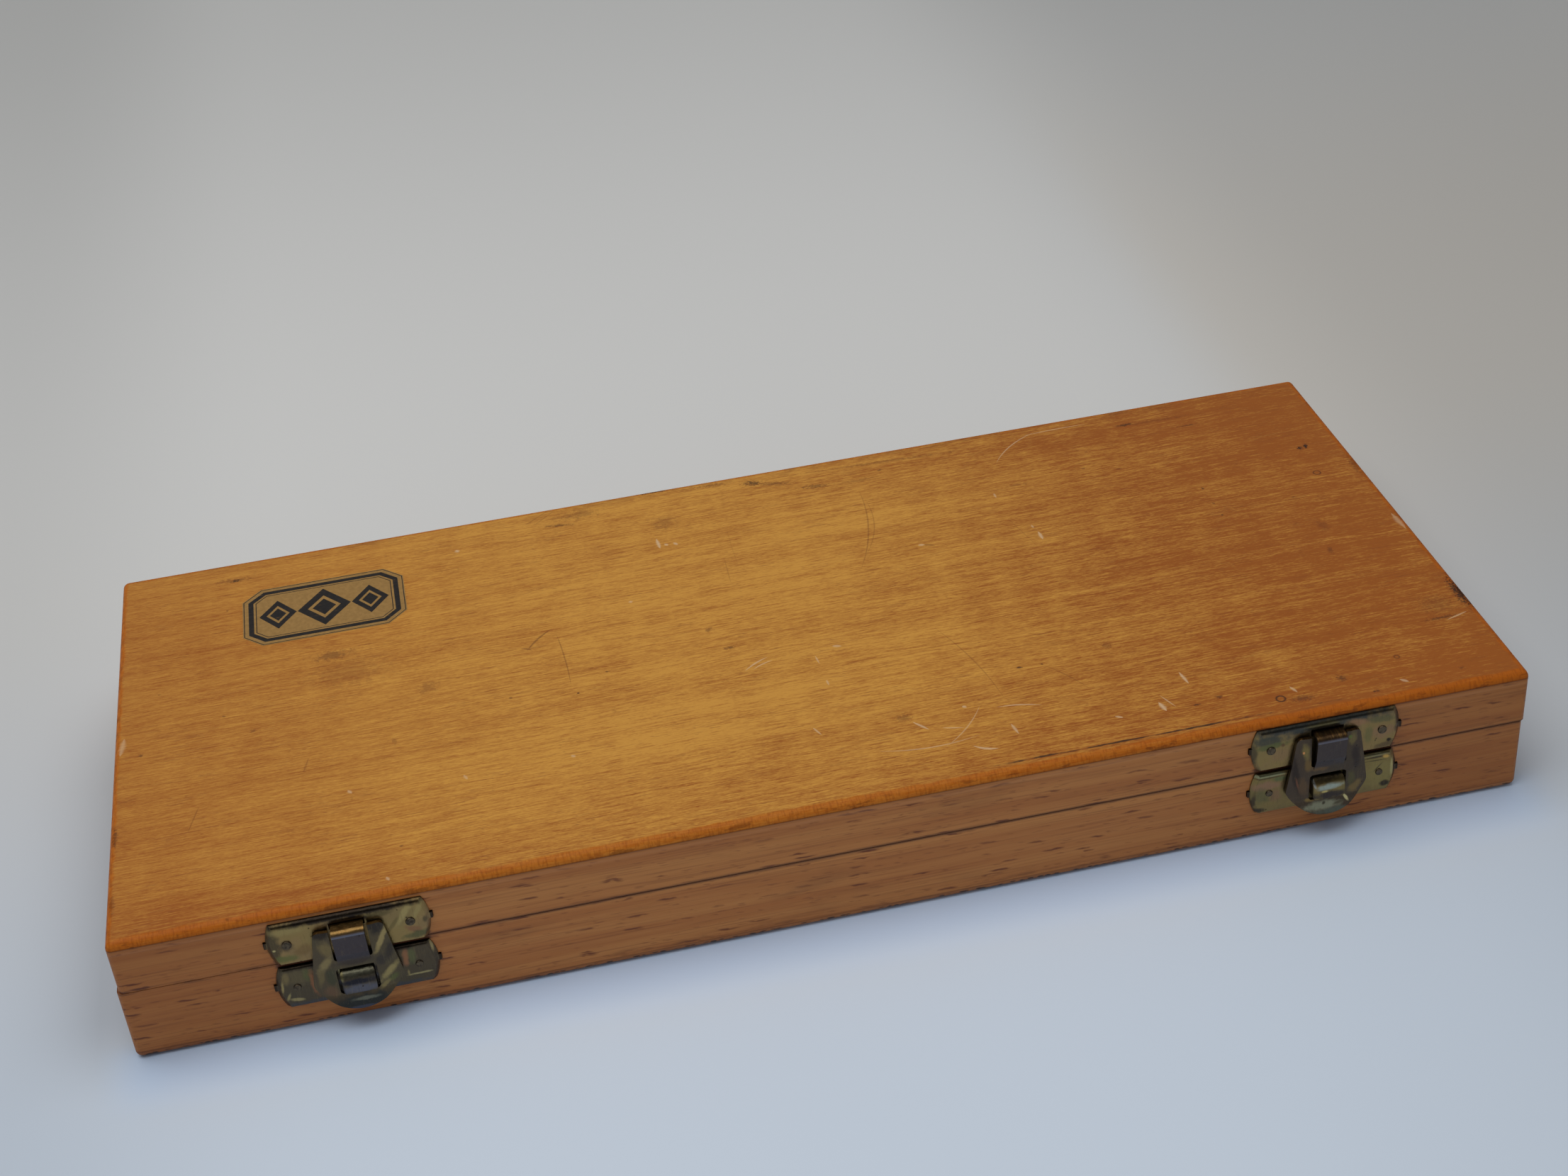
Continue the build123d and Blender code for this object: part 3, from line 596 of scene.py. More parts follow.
def marked_and_shaded(g, place, colour):
    """On the outside of a shell: darker along the seam, the glue lines, in blotches and towards the
    lower edge; painted shadow behind each latch, painted shade towards the ends and a painted
    highlight under the lid's panel.
    """
    x, y, z = g.parts(place)
    ragged = g.stretched(place, (9, 3.5, 1.8), 5, 0.65)
    off_seam = g.apart(z, SEAM_Z)
    faded = g.step(x, LEFT_X + 46, LEFT_X + 16, 1, 0.1)
    dirt = g.times(g.step(off_seam, 0.62, 0.14), faded, 0.74)
    dirt = g.strongest(dirt, (g.steps((off_seam, 0.85, 0.2), (ragged, 0.46, 0.6)), 0.55))
    # Painted shadow: behind each latch the seam is painted darker, across the front.
    for side in ("left", "right"):
        low, high = corners_of("latch_hasp_" + side)
        beside = g.apart(x, (low.x + high.x) / 2)
        behind = g.steps((beside, *LATCH_SHADOW), (off_seam, 1.3, 0.9))
        dirt = g.strongest(dirt, (g.times(behind, g.step(y, FRONT_Y + 2, FRONT_Y + 1)), 0.88))
    foot = g.steps((z, 4.6, 2), (ragged, 0.5, 0.68))
    low_glue = g.step(g.less(z, BOTTOM_HIGH.z), 0.32, 0.05)
    high_glue = g.step(g.less(TOP_LOW.z, z), 0.35, 0.05)
    blot = g.step(g.stretched(place, (34, 10, 8), 4, 0.6), 0.56, 0.76)
    dirt = g.strongest(dirt, (foot, 0.4), (g.most(low_glue, high_glue), 0.4), (blot, 0.26))
    # Painted shade: darker and warmer towards the case's ends, away from its middle.
    far = g.step(g.apart(x, -10), 60, 140)
    colour = g.mix(far, colour, (0.82, 0.76, 0.7, 1), "MULTIPLY")
    colour = g.tint(colour, (68, 34, 20), dirt)
    # A painted highlight: a pale line 1 mm below the lid's panel.
    shine = g.step(g.apart(z, TOP_LOW.z - 1), 0.6, 0.1)
    return g.tint(colour, (214, 160, 116), shine, 0.1)


def bottom_plywood():
    """The base's plywood: browner, with dark pores along its cut edge."""
    g = Skin("varnished_plywood_base")
    place = g.place
    z = g.parts(place)[2]
    fine = g.grain(place, 14, 0.45, 3, 4)
    broad = g.grain(place, 120, 8, 8, 4)
    dashes = g.flecks(place, 7, 0.6, 0.4, 0.4)
    colour = g.mix(g.step(broad, 0.36, 0.66), (176, 112, 58), (146, 86, 42))
    colour = g.tint(colour, (116, 66, 36), g.step(fine, 0.45, 0.68), 0.35)
    colour = g.tint(colour, (92, 50, 28), dashes, 0.35)
    spread = g.vector("MULTIPLY", place, (0.62, 0.62, 0.95))
    pores = g.node("TexVoronoi", {"Vector": spread, "Scale": 1.0})
    hole = g.step(pores.outputs["Distance"], 0.54, 0.3)
    crowd = g.step(g.stretched(place, (22, 22, 22), 2), 0.3, 0.46)
    hole = g.times(hole, crowd, g.step(g.apart(z, 0.8), 0.7, 0.35))
    glue = g.step(g.less(BOTTOM_HIGH.z, z), 0.3, 0.05)
    scuff = g.step(g.noise(place, 0.06, 5, 0.6), 0.52, 0.72)
    dark = g.strongest(g.times(hole, 0.95), (glue, 0.35), (scuff, 0.28))
    colour = g.tint(colour, (50, 32, 24), dark)
    rough = g.blend(g.noise(place, 0.05, 4), 0.45, 0.6)
    height = g.less(g.times(fine, -0.5), g.times(hole, 0.8))
    return g.finish(colour, rough, height, 0.06, VARNISH_SHINE)


# ---- metal and cloth

# Tints of each latch piece, some of them painted highlights, shade and reflections: across from the
# latch's middle, up from the piece's lower edge, half sizes, turn in degrees, display tone where it
# mirrors the table, strength.
OLIVE_GOLD = (118, 98, 61)
PALE_GOLD = (126, 110, 70)
ROSE = (108, 78, 55)
MOSS = (74, 74, 48)
UMBER = (58, 50, 41)
SLATE = (66, 58, 46)
SHADE_AND_SOOT = (38, 33, 30)
LATCH_TINTS_AND_SHADING = {}
LATCH_TINTS_AND_SHADING["latch_lid_plate_left"] = [
    (0, 6, 40, 20, 0, OLIVE_GOLD, 0.7), (-15.2, 5.4, 1.5, 5, 0, (64, 56, 42), 0.9),
    (-12.6, 4.7, 1.5, 1.4, 0, UMBER, 0.85), (-15.1, 4.1, 0.35, 0.3, 0, (150, 136, 92), 0.9),
    (-13.2, 1.5, 2.6, 1, 0, (84, 84, 50), 0.85), (-9.4, 3.2, 2, 1.4, 20, (98, 78, 50), 0.75),
    (-12, 8.6, 4, 1, 0, PALE_GOLD, 0.65), (12.9, 2.9, 1.9, 0.9, -24, ROSE, 0.85),
    (13.6, 1.5, 3.2, 0.9, 8, (66, 68, 46), 0.8), (11.4, 7.4, 3.2, 0.8, 58, (132, 116, 74), 0.85),
    (14.2, 7.6, 2.6, 0.6, 62, PALE_GOLD, 0.8), (9, 5.2, 2.6, 0.5, 52, (88, 76, 48), 0.7),
    # The rows centred on the middle at 8.6 and 9.8 up paint the shadow above the tongue and the dark
    # reflection in the plate's curved top edge.
    (6.4, 8.6, 2.8, 0.8, 0, (76, 66, 44), 0.8), (0, 8.6, 5.2, 0.9, 0, SHADE_AND_SOOT, 0.9),
    (0, 9.8, 18, 0.85, 0, SHADE_AND_SOOT, 0.96), (15.3, 5, 0.5, 0.9, 0, (66, 58, 44), 0.8),
]
LATCH_TINTS_AND_SHADING["latch_lid_plate_right"] = [
    # The second row paints the dark reflection in the plate's curved top edge.
    (0, 3.6, 40, 20, 0, (116, 97, 60), 0.8), (-2, 10.6, 20, 3.1, 0, (55, 56, 53), 0.98),
    (-13, 7.6, 4.6, 1.4, 0, (60, 60, 52), 0.9), (-12.6, 6.2, 4.4, 0.8, 4, (78, 80, 50), 0.85),
    (12.2, 7.9, 3.6, 0.9, -6, (82, 78, 54), 0.8), (6.8, 8.3, 2.6, 0.9, -12, (122, 92, 66), 0.95),
    (-1, 9.4, 4, 0.6, 0, (86, 78, 50), 0.8), (-9.8, 6, 0.5, 0.5, 0, (84, 60, 44), 0.8),
    (-10.4, 3.6, 2.4, 1.6, 0, (116, 92, 64), 0.7), (12.6, 4.6, 3, 2, 0, (118, 92, 66), 0.85),
    (9.3, 4.4, 1, 2.6, 0, (90, 86, 54), 0.7), (13.6, 1, 3.4, 0.8, 8, (78, 64, 46), 0.85),
    (16, 6.6, 0.9, 3.4, 0, UMBER, 0.9), (-16.2, 4.6, 0.8, 4.2, 0, (66, 58, 44), 0.85),
    (14, 2, 0.55, 0.5, 0, SHADE_AND_SOOT, 0.95), (15.8, 5.5, 0.25, 0.5, 0, (104, 104, 98), 0.9),
]
LATCH_TINTS_AND_SHADING["latch_base_plate_left"] = [
    (0, 5, 40, 20, 0, SLATE, 0.97), (-11.8, 7.6, 3.4, 2, 0, (82, 72, 52), 0.8),
    (-9.9, 7.8, 0.9, 2.2, 10, MOSS, 0.75), (-8.9, 5.4, 0.8, 3.4, 6, (110, 74, 52), 0.95),
    (-14.4, 8, 0.9, 1.5, 0, (100, 86, 58), 0.85), (-15.4, 5.4, 0.28, 1.8, -8, (124, 108, 70), 0.95),
    (-14.5, 3, 0.3, 1.1, -24, (120, 106, 70), 0.95), (-13, 1.9, 1.5, 0.45, -12, (124, 110, 74), 0.95),
    (9.9, 7.4, 0.7, 2.4, -4, (114, 80, 56), 0.95), (11.2, 7.5, 0.8, 2.2, -4, (78, 78, 52), 0.8),
    (12.2, 2.6, 2.4, 0.28, 1, (126, 114, 78), 0.98), (9.9, 3.3, 0.25, 0.8, 0, (112, 98, 64), 0.85),
    (15.5, 9.2, 0.32, 1.9, 8, (126, 112, 76), 0.95), (0, 0.5, 17, 0.8, 0, (58, 58, 60), 0.8),
    # Painted shadow in the gap under the lid plate along the top; across the catch a painted highlight
    # on its top, a dark painted reflection across its middle and a greyer one below.
    (0, 10.3, 15.4, 1, 0, SHADE_AND_SOOT, 0.98), (0, 8.2, 4.6, 1.2, 0, (112, 110, 92), 0.98),
    (-3.3, 7.6, 0.5, 1.4, 0, (128, 120, 84), 0.9), (0, 6.1, 4.2, 0.8, 0, (34, 33, 38), 0.98),
    (0, 4, 4.6, 1.2, 0, (74, 73, 79), 0.98),
]
LATCH_TINTS_AND_SHADING["latch_base_plate_right"] = [
    (0, 5, 40, 20, 0, (104, 89, 54), 0.85), (-13, 7.2, 3.6, 1.3, 0, (118, 90, 68), 0.9),
    (-10.2, 8.6, 1.6, 0.8, 0, (80, 84, 56), 0.85), (-11, 4.4, 1.4, 1.8, 20, (108, 82, 60), 0.75),
    (-14, 4.6, 1.8, 2.2, 0, (84, 78, 52), 0.8), (-15.9, 3, 0.5, 3, -8, (62, 52, 40), 0.85),
    # The rows at 9.9 up paint highlights along the rounded top edge, those at 9.3 the dark reflections
    # just below them.
    (-14.6, 0.8, 1.4, 0.7, 0, (50, 43, 36), 0.9), (-12.5, 9.9, 4.4, 0.45, 0, (116, 116, 88), 0.95),
    (-12.5, 9.3, 4.4, 0.25, 0, (70, 60, 42), 0.85), (12.6, 5, 4.2, 4.2, 0, (112, 99, 60), 0.85),
    (11.8, 9.9, 3.6, 0.4, 0, (110, 104, 76), 0.9), (11.8, 9.3, 3.8, 0.25, 0, (56, 48, 38), 0.9),
    (11.6, 8.4, 2.6, 0.14, -2, (60, 52, 40), 0.85), (12.2, 6.6, 1.6, 0.16, 48, (62, 54, 42), 0.85),
    (15.3, 6.4, 0.4, 3, 0, (138, 126, 84), 0.92), (13.8, 9.1, 0.9, 0.5, -20, (160, 126, 66), 0.9),
    (16.1, 5.2, 0.5, 4.4, 0, (56, 48, 38), 0.9), (13.8, 1.8, 1.1, 0.8, 0, (46, 40, 34), 0.95),
    (0, 8.3, 4.4, 1, 0, (64, 55, 40), 0.95), (0.4, 6.2, 3, 0.8, 4, (128, 134, 122), 0.98),
    (0, 4, 4.6, 1.3, 0, (50, 44, 42), 0.97), (-1, 5.1, 0.8, 0.28, 0, (160, 142, 88), 0.95),
    (-3.3, 7.4, 0.28, 1.3, 14, (134, 134, 124), 0.95), (2.4, 8.4, 0.25, 0.6, -30, (44, 40, 36), 0.8),
]
LATCH_TINTS_AND_SHADING["latch_hasp_left"] = [
    # Besides its tints, the rows on the wings paint the shading of the hasp's bent wings, dark corners
    # and light streaks, and the pale band across the lip is a painted highlight.
    (0, 9, 30, 36, 0, (68, 60, 47), 0.94), (-5.4, 19.8, 2.2, 1.6, 0, (42, 37, 33), 0.96),
    (5.4, 19.2, 2, 2.2, 0, (44, 40, 37), 0.96), (-5.1, 15.6, 1.3, 2.2, 8, (98, 84, 56), 0.92),
    (-5.9, 11.8, 0.9, 2.8, -40, (110, 96, 65), 0.95), (-7.2, 8.6, 0.7, 2.6, -10, (92, 80, 54), 0.85),
    (-5.2, 8.2, 1.1, 2.4, 0, (60, 58, 44), 0.9), (-5.8, 4.6, 1.6, 1.6, 20, (86, 66, 50), 0.88),
    (6, 15.6, 0.65, 3.6, -28, (124, 108, 71), 0.97), (7.3, 12.4, 0.9, 2.6, -14, (52, 47, 42), 0.92),
    (5.2, 10.6, 1.2, 1.6, 0, (54, 49, 44), 0.9), (6.6, 7.2, 0.85, 3.4, -44, (120, 106, 69), 0.97),
    (7, 5.2, 1.2, 0.8, 30, (76, 78, 48), 0.8), (5, 4, 1.4, 0.6, 36, (112, 98, 63), 0.85),
    (0, 11.6, 4.4, 1, 0, (58, 50, 44), 0.92), (-0.3, 0.9, 8, 2.1, 0, (44, 46, 45), 0.98),
    (0.6, 1.9, 2.7, 0.38, 0, (92, 92, 80), 0.95), (0, 0.3, 4, 0.35, 0, (60, 62, 72), 0.85),
]
LATCH_TINTS_AND_SHADING["latch_hasp_right"] = [
    # The dark rows down the outer sides of both wings paint the shading of the hasp's bent wings.
    (0, 9, 30, 36, 0, (62, 53, 45), 0.95), (-7.4, 12, 0.9, 7, 10, (48, 41, 37), 0.95),
    (-5.1, 16.6, 0.9, 2.2, 6, (102, 88, 54), 0.95), (-5.6, 16.4, 0.25, 0.35, 0, (176, 118, 72), 0.95),
    (-4.5, 13, 0.9, 1.5, 0, (94, 75, 48), 0.92), (-2, 11.8, 1.9, 0.8, -6, (94, 73, 50), 0.94),
    (-5.4, 7.4, 1.2, 2.6, 8, (80, 63, 47), 0.88), (-6.7, 8.2, 0.25, 1.6, 12, (98, 66, 50), 0.75),
    (5.3, 18, 0.9, 1.7, 0, (94, 82, 53), 0.92), (4.7, 18.5, 0.45, 0.5, 0, (82, 94, 48), 0.85),
    (6.2, 13, 1, 3.2, 8, (50, 43, 40), 0.92), (5.4, 7.2, 1, 2.4, 10, (74, 68, 46), 0.88),
    (6.4, 5, 1.7, 1.3, 36, (100, 82, 51), 0.92), (-4, 3.6, 1.1, 0.5, -8, (108, 88, 52), 0.9),
    (-1.2, 1.9, 4.2, 1.1, 0, (116, 115, 94), 0.97), (4.2, 2.8, 0.35, 1, 34, (176, 164, 116), 0.95),
    (1.6, 0.6, 4.6, 0.7, 0, (76, 80, 70), 0.92), (-0.8, 2.4, 0.45, 0.35, 30, (58, 52, 42), 0.9),
    (2.4, 2, 1.2, 0.3, 10, (72, 66, 52), 0.85),
]
# The tongue's worn top, a painted highlight on the arris below it, and its face, seen on each latch.
TONGUE_TONES = {
    "left": ((130, 102, 60), (84, 84, 92), (58, 52, 53)),
    "right": ((84, 64, 44), (84, 82, 88), (60, 53, 51)),
}
PRONGS = (16.3, 16.6)  # a plate's prongs begin this far from the latch's middle


def upward(g):
    """How far a face looks up: 1 on a level face, 0 on an upright one."""
    return g.parts(g.node("NewGeometry").outputs["Normal"])[2]


def painted_shade_upward(g, colour):
    """Painted shade that dulls what faces upwards, where the metal mirrors the room instead of the
    table.
    """
    share = TABLE_GLOW / ROOM_GLOW
    return g.mix(g.step(upward(g), 0.2, 0.62), colour, (share, share, share, 1), "MULTIPLY")


def latch_metal(node):
    """Yellow passivated latch steel, tinted, grimed and worn as that piece is, with painted
    highlights, shade and reflections among its tints.
    """
    side = node.rsplit("_", 1)[1]
    g = Skin(node + "_steel", metal=True)
    place = g.place
    foot = corners_of(node)[0].z
    middle = corners_of("latch_hasp_" + side)
    centre = (middle[0].x + middle[1].x) / 2
    x, y, z = g.parts(place)
    above_foot = g.less(z, foot)
    flat = g.join(g.less(x, centre), above_foot, 0)
    tarnish = g.group(TARNISH, Vector=place, Patch=8, Grime=0.45)
    colour = tarnish["Color"]
    broken = g.plus(g.times(g.less(g.noise(place, 0.6, 4, 0.6), 0.5), 1.3), 0.5)
    for across, up, half_across, half_up, turn, shade, strength in LATCH_TINTS_AND_SHADING[node]:
        half = (half_across, half_up)
        mask = mark(g, PATCH, flat, (across, up, 0), half, radians(turn), Broken=broken)
        colour = g.tint(colour, shade, mask, strength)
    if "hasp" in node:
        top, arris, face = TONGUE_TONES[side]
        rise = upward(g)
        # The tongue stands proudest of the wood, between the folds and above the cross bar.
        proud = g.steps((g.less(FRONT_Y, y), 2.9, 3.5), (above_foot, 9, 10.5))
        streak = g.step(g.stretched(place, (0.5, 3, 6)), 0.45, 0.65)
        top = g.tint(top, (140, 106, 60), streak, 0.6)
        # By how far a face looks up: the worn top, then the arris painted as a highlight, then the
        # face.
        worn = g.mix(g.step(rise, 0.3, 0.75), arris, top)
        worn = g.mix(g.step(rise, 0.16, 0.02), worn, face)
        tongue_top = g.steps((rise, 0.5, 0.85), (above_foot, 16, 17.5))
        colour = g.mix(g.most(proud, tongue_top), colour, worn)
    else:
        # Painted shade: the prongs are painted dark, as they lie in shade at the plate's ends.
        shaded_prongs = g.step(g.apart(x, centre), *PRONGS)
        colour = g.mix(shaded_prongs, colour, (46, 37, 30))
    lines = g.stretched(place, (0.35, 0.35, 3), 4, 0.65)
    colour = g.tint(colour, (122, 106, 72), g.step(lines, 0.56, 0.7), 0.14)
    colour = g.tint(colour, (44, 38, 32), g.step(lines, 0.44, 0.3), 0.2)
    pits = g.flecks(place, 1.6, 1.6, 0.16, 0.16)
    colour = g.tint(colour, (38, 32, 28), pits, 0.8)
    rough = g.blend(g.noise(place, 0.8, 4), 0.26, 0.42)
    rough = g.plus(rough, g.times(g.most(tarnish["Grime"], pits), 0.25))
    height = g.plus(g.times(g.noise(place, 0.5), 0.7), g.times(lines, 0.1))
    height = g.less(height, g.times(pits, 0.15))
    return g.finish(painted_shade_upward(g, colour), rough, height, 0.22)


def worn_edge():
    """The arrises of the stamped steel, rubbed through to paler, yellower metal."""
    g = Skin("worn_latch_edge", metal=True)
    patch = g.noise(g.place, 0.7, 5, 0.65)
    colour = g.mix(g.step(patch, 0.48, 0.62), (46, 40, 34), (104, 94, 68))
    rough = g.blend(patch, 0.4, 0.26)
    return g.finish(painted_shade_upward(g, colour), rough, g.noise(g.place, 1.5), 0.1)


def hinge_metal():
    """The hinges: the same passivated sheet, duller."""
    g = Skin("hinge_steel_dull", metal=True)
    tarnish = g.group(TARNISH, Vector=g.place, Patch=9, Grime=0.75)
    rough = g.blend(tarnish["Grime"], 0.34, 0.6)
    return g.finish(tarnish["Color"], rough, g.noise(g.place, 0.8, 4), 0.15)


def nail_metal():
    """Small dull nails, darker in patches."""
    g = Skin("nail_steel_dull", metal=True)
    patch = g.noise(g.place, 1.1, 4, 0.6)
    colour = g.mix(g.step(patch, 0.4, 0.65), (78, 68, 54), (50, 43, 36))
    rough = g.blend(patch, 0.34, 0.55)
    return g.finish(colour, rough, g.noise(g.place, 2), 0.1)


def felt_cloth():
    """Pressed dark green felt: matted fibres at two scales, soft sheen."""
    g = Skin("felt_fibres")
    fibres = g.noise(g.place, 2.6, 6, 0.75)
    colour = g.mix(fibres, (38, 62, 48), (74, 104, 84))
    colour = g.tint(colour, (30, 50, 40), g.noise(g.place, 0.5, 4, 0.6), 0.4)
    rough = g.blend(fibres, 0.85, 0.98)
    return g.finish(colour, rough, fibres, 0.4, Sheen_Weight=0.35, Sheen_Roughness=0.5)


def emblem_material(name, dark, light, roughness):
    """Printed transfer on the varnish: a faintly mottled, slightly rubbed film."""
    g = Skin(name)
    mottle = g.noise(g.place, 0.9, 5, 0.65)
    colour = g.mix(g.step(mottle, 0.35, 0.7), dark, light)
    rub = g.step(g.stretched(g.place, (2, 0.33, 1), 4), 0.64, 0.76)
    colour = g.tint(colour, (168, 122, 60), rub, 0.35)
    rough = g.blend(mottle, roughness, roughness + 0.12)
    return g.finish(colour, rough, mottle, 0.02, VARNISH_SHINE)


# ---- new pieces


def linked(name, data):
    """A new object with that data, in the scene."""
    made = bpy.data.objects.new(name, data)
    bpy.context.collection.objects.link(made)
    return made


def mesh_object(name, points, faces, materials, indices=None):
    mesh = bpy.data.meshes.new(name)
    mesh.from_pydata([tuple(p) for p in points], [], [tuple(int(i) for i in f) for f in faces])
    for material in materials:
        mesh.materials.append(material)
    if indices is not None:
        mesh.polygons.foreach_set("material_index", indices)
    mesh.update()
    return linked(name, mesh)


def eased(node, radius, skin, edge=None, shortest=0):
    """A copy of a CAD piece whose sharp edges are rounded: each edge that turns by more than
    EDGE_TURN and is longer than shortest becomes a quarter-round strip of the radius, with the
    material edge where one is given."""
    source = frame["nodes"][node]
    net = bmesh.new()
    net.from_mesh(source.data)
    bmesh.ops.remove_doubles(net, verts=net.verts, dist=WELD)
    bmesh.ops.dissolve_limit(net, angle_limit=FLAT_TURN, verts=net.verts, edges=net.edges)
    sharp = [
        e for e in net.edges
        if e.is_manifold and e.calc_face_angle() > EDGE_TURN and e.calc_length() > shortest * MM
    ]
    for face in net.faces:
        face.material_index = 0
    bmesh.ops.bevel(
        net, geom=sharp, offset=radius * MM, segments=2, profile=0.5, affect="EDGES",
        clamp_overlap=True, loop_slide=True, material=1 if edge else 0,
    )
    for face in net.faces:
        face.smooth = True
    mesh = bpy.data.meshes.new(node + "_eased")
    net.to_mesh(mesh)
    net.free()
    mesh.materials.append(skin)
    if edge:
        mesh.materials.append(edge)
    mesh.set_sharp_from_angle(angle=EDGE_TURN)
    piece = linked(node + "_eased", mesh)
    piece.modifiers.new("flat faces", "WEIGHTED_NORMAL").keep_sharp = True
    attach(piece, source["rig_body"])
    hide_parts(node)
    return piece


FELT_AROUND = 160  # points round a pad
FELT_RINGS = 22  # from the underside's rim to the face's
FELT_SQUARENESS = 14  # the n of its outline |x|^n + |y|^n = 1
FELT_RIM = 0.6  # how far the rim curves in, in half thicknesses
FELT_RISE = 0.96  # where the face lies, in half thicknesses: its waves stay within one
FELT_WAVE = 0.04  # height of the waves, in half thicknesses
FELT_WAVE_X = 900  # radians per metre
FELT_WAVE_Y = 1100


def felt_pad(node, material):
    """A pad on a grid of two angles: a rounded box in plan whose rim is a half-round of the felt's
    thickness, its face lifted and lowered a little by sine waves."""
    low, high = (np.array(corner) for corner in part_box(node))
    middle, half = (low + high) / 2, (high - low) / 2
    angle = np.linspace(0, 2 * np.pi, FELT_AROUND, endpoint=False)
    plan = [np.sign(f(angle)) * np.abs(f(angle)) ** (2 / FELT_SQUARENESS) for f in (np.cos, np.sin)]
    lean = np.linspace(-np.pi / 2, np.pi / 2, FELT_RINGS)
    inward = np.where(np.abs(lean) < np.pi / 2, np.cos(lean), 0)
    curve = half[2] * FELT_RIM * (1 - inward[:, None])
    x, y = (middle[i] + plan[i] * (half[i] - curve) for i in (0, 1))
    wave = FELT_WAVE * half[2] * np.sin(x * FELT_WAVE_X) * np.sin(y * FELT_WAVE_Y)
    z = middle[2] + half[2] * np.sin(lean)[:, None] * FELT_RISE + wave
    points = np.stack([x, y, z], -1).reshape(-1, 3)
    ring = np.arange(FELT_RINGS - 1)[:, None] * FELT_AROUND
    side = np.arange(FELT_AROUND)[None, :]
    right = (side + 1) % FELT_AROUND
    above = ring + FELT_AROUND
    quads = np.stack([ring + side, ring + right, above + right, above + side], -1)
    faces = [tuple(q) for q in quads.reshape(-1, 4)]
    faces.append(tuple(range(FELT_AROUND))[::-1])
    faces.append(tuple((FELT_RINGS - 1) * FELT_AROUND + i for i in range(FELT_AROUND)))
    piece = mesh_object(node + "_cloth", points, faces, [material])
    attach(piece, "lid")
    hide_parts(node)
    return piece


EMBLEM_MIDDLE = (48, 107.6)  # from the lid's front left corner
EMBLEM_HALF = (19.2, 12)
EMBLEM_CUT = 4.5  # clipped corners
CUT_PER_INSET = 0.59  # keeps a border about as wide along the clipped corners
BORDERS = [(0.25, 0.45), (1.4, 2.6), (3.1, 3.3)]  # each from one inset to another
DIAMONDS = [(0, 6.3, 7.8), (-10.9, 4.4, 6), (10.9, 4.4, 6)]  # x and half sizes
DIAMOND_HOLE = 0.62  # of the diamond's size
DIAMOND_CORE = 0.44
FILM = 0.03
INK = 0.012


def plate(inset):
    """Eight corners of the emblem's clipped rectangle, inset, anticlockwise."""
    x, y = (half - inset for half in EMBLEM_HALF)
    cut = EMBLEM_CUT - inset * CUT_PER_INSET
    return np.array([
        (x, cut - y), (x, y - cut), (x - cut, y), (cut - x, y),
        (-x, y - cut), (-x, cut - y), (cut - x, -y), (x - cut, -y),
    ])


def diamond(x, half_x, half_y, share):
    half_x, half_y = half_x * share, half_y * share
    return np.array([(x + half_x, 0), (x, half_y), (x - half_x, 0), (x, -half_y)])


def emblem(ground, ink):
    """A clipped rectangle of film with three borders and three diamonds, each a thin prism."""
    centre = np.array(on_lid(*EMBLEM_MIDDLE)[:2])
    points, faces, slots = [], [], []

    def prism(outline, hole=None, low=FILM, high=FILM + INK, slot=1):
        """Side walls and a top between an outline and, where given, a hole in it."""
        n = len(outline)
        first = len(points)
        for loop in [outline] if hole is None else [outline, hole]:
            for level in (low, high):
                points.extend([*(centre + p), TOP_HIGH.z + level] for p in loop)
        for i in range(n):
            j = (i + 1) % n
            faces.append((first + i, first + j, first + n + j, first + n + i))
            if hole is not None:
                inner = first + 2 * n
                faces.append((inner + j, inner + i, inner + n + i, inner + n + j))
                faces.append((first + n + i, first + n + j, inner + n + j, inner + n + i))
                faces.append((first + j, first + i, inner + i, inner + j))
        if hole is None:
            faces.append(tuple(first + n + i for i in range(n)))
            faces.append(tuple(first + n - 1 - i for i in range(n)))
        slots.extend([slot] * (len(faces) - len(slots)))

    prism(plate(0), None, 0, FILM, 0)
    for outer, inner in BORDERS:
        prism(plate(outer), plate(inner))
    for shape in DIAMONDS:
        prism(diamond(*shape, 1), diamond(*shape, DIAMOND_HOLE))
        prism(diamond(*shape, DIAMOND_CORE))
    piece = mesh_object("lid_emblem", np.array(points) * MM, faces, [ground, ink], slots)
    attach(piece, "lid")
    return piece


# ---- dressing the frame


def dress_all():
    fleck = (112, 58, 27)
    outer = beech("varnished_beech_long", (188, 124, 64), (173, 107, 52), fleck, True)
    ends = beech("varnished_beech_ends", (185, 121, 62), (170, 104, 50), fleck, True, True)
    plain = beech("plain_beech_blocks", (206, 164, 116), (186, 140, 94), (140, 94, 60), False)
    nails = nail_metal()
    hinges = hinge_metal()
    edge = worn_edge()
    cloth = felt_cloth()
    boards = {
        "lid_top_panel": varnished_top(), "base_bottom_panel": bottom_plywood(),
        "front_board": outer, "back_board": outer, "left_board": ends, "right_board": ends,
    }
    for node, source in frame["nodes"].items():
        board = [skin for ending, skin in boards.items() if node.endswith(ending)]
        if board:
            eased(node, WOOD_EASE, board[0], shortest=SHORT_WOOD_EDGE)
        elif "nails" in node or "pin" in node:
            source.data.materials.clear()
            source.data.materials.append(nails)
        elif node.startswith("hinge"):
            eased(node, HINGE_EASE, hinges)
        elif node.startswith("latch_hasp"):
            eased(node, HASP_EASE, latch_metal(node), edge)
        elif node.startswith("latch"):
            eased(node, PLATE_EASE, latch_metal(node), edge)
        elif node.endswith("felt"):
            felt_pad(node, cloth)
        else:
            eased(node, BLOCK_EASE, plain, shortest=SHORT_BLOCK_EDGE)
    emblem(
        emblem_material("emblem_film", (148, 113, 60), (164, 126, 70), 0.4),
        emblem_material("emblem_ink", (24, 20, 19), (36, 31, 29), 0.42),
    )


# ---- floor, light and camera

FLOOR_HALF = 3.0  # metres
TABLE_SHINE = 0.2
SHADOW_REACH = 34  # how far the close shadow left of the case reaches


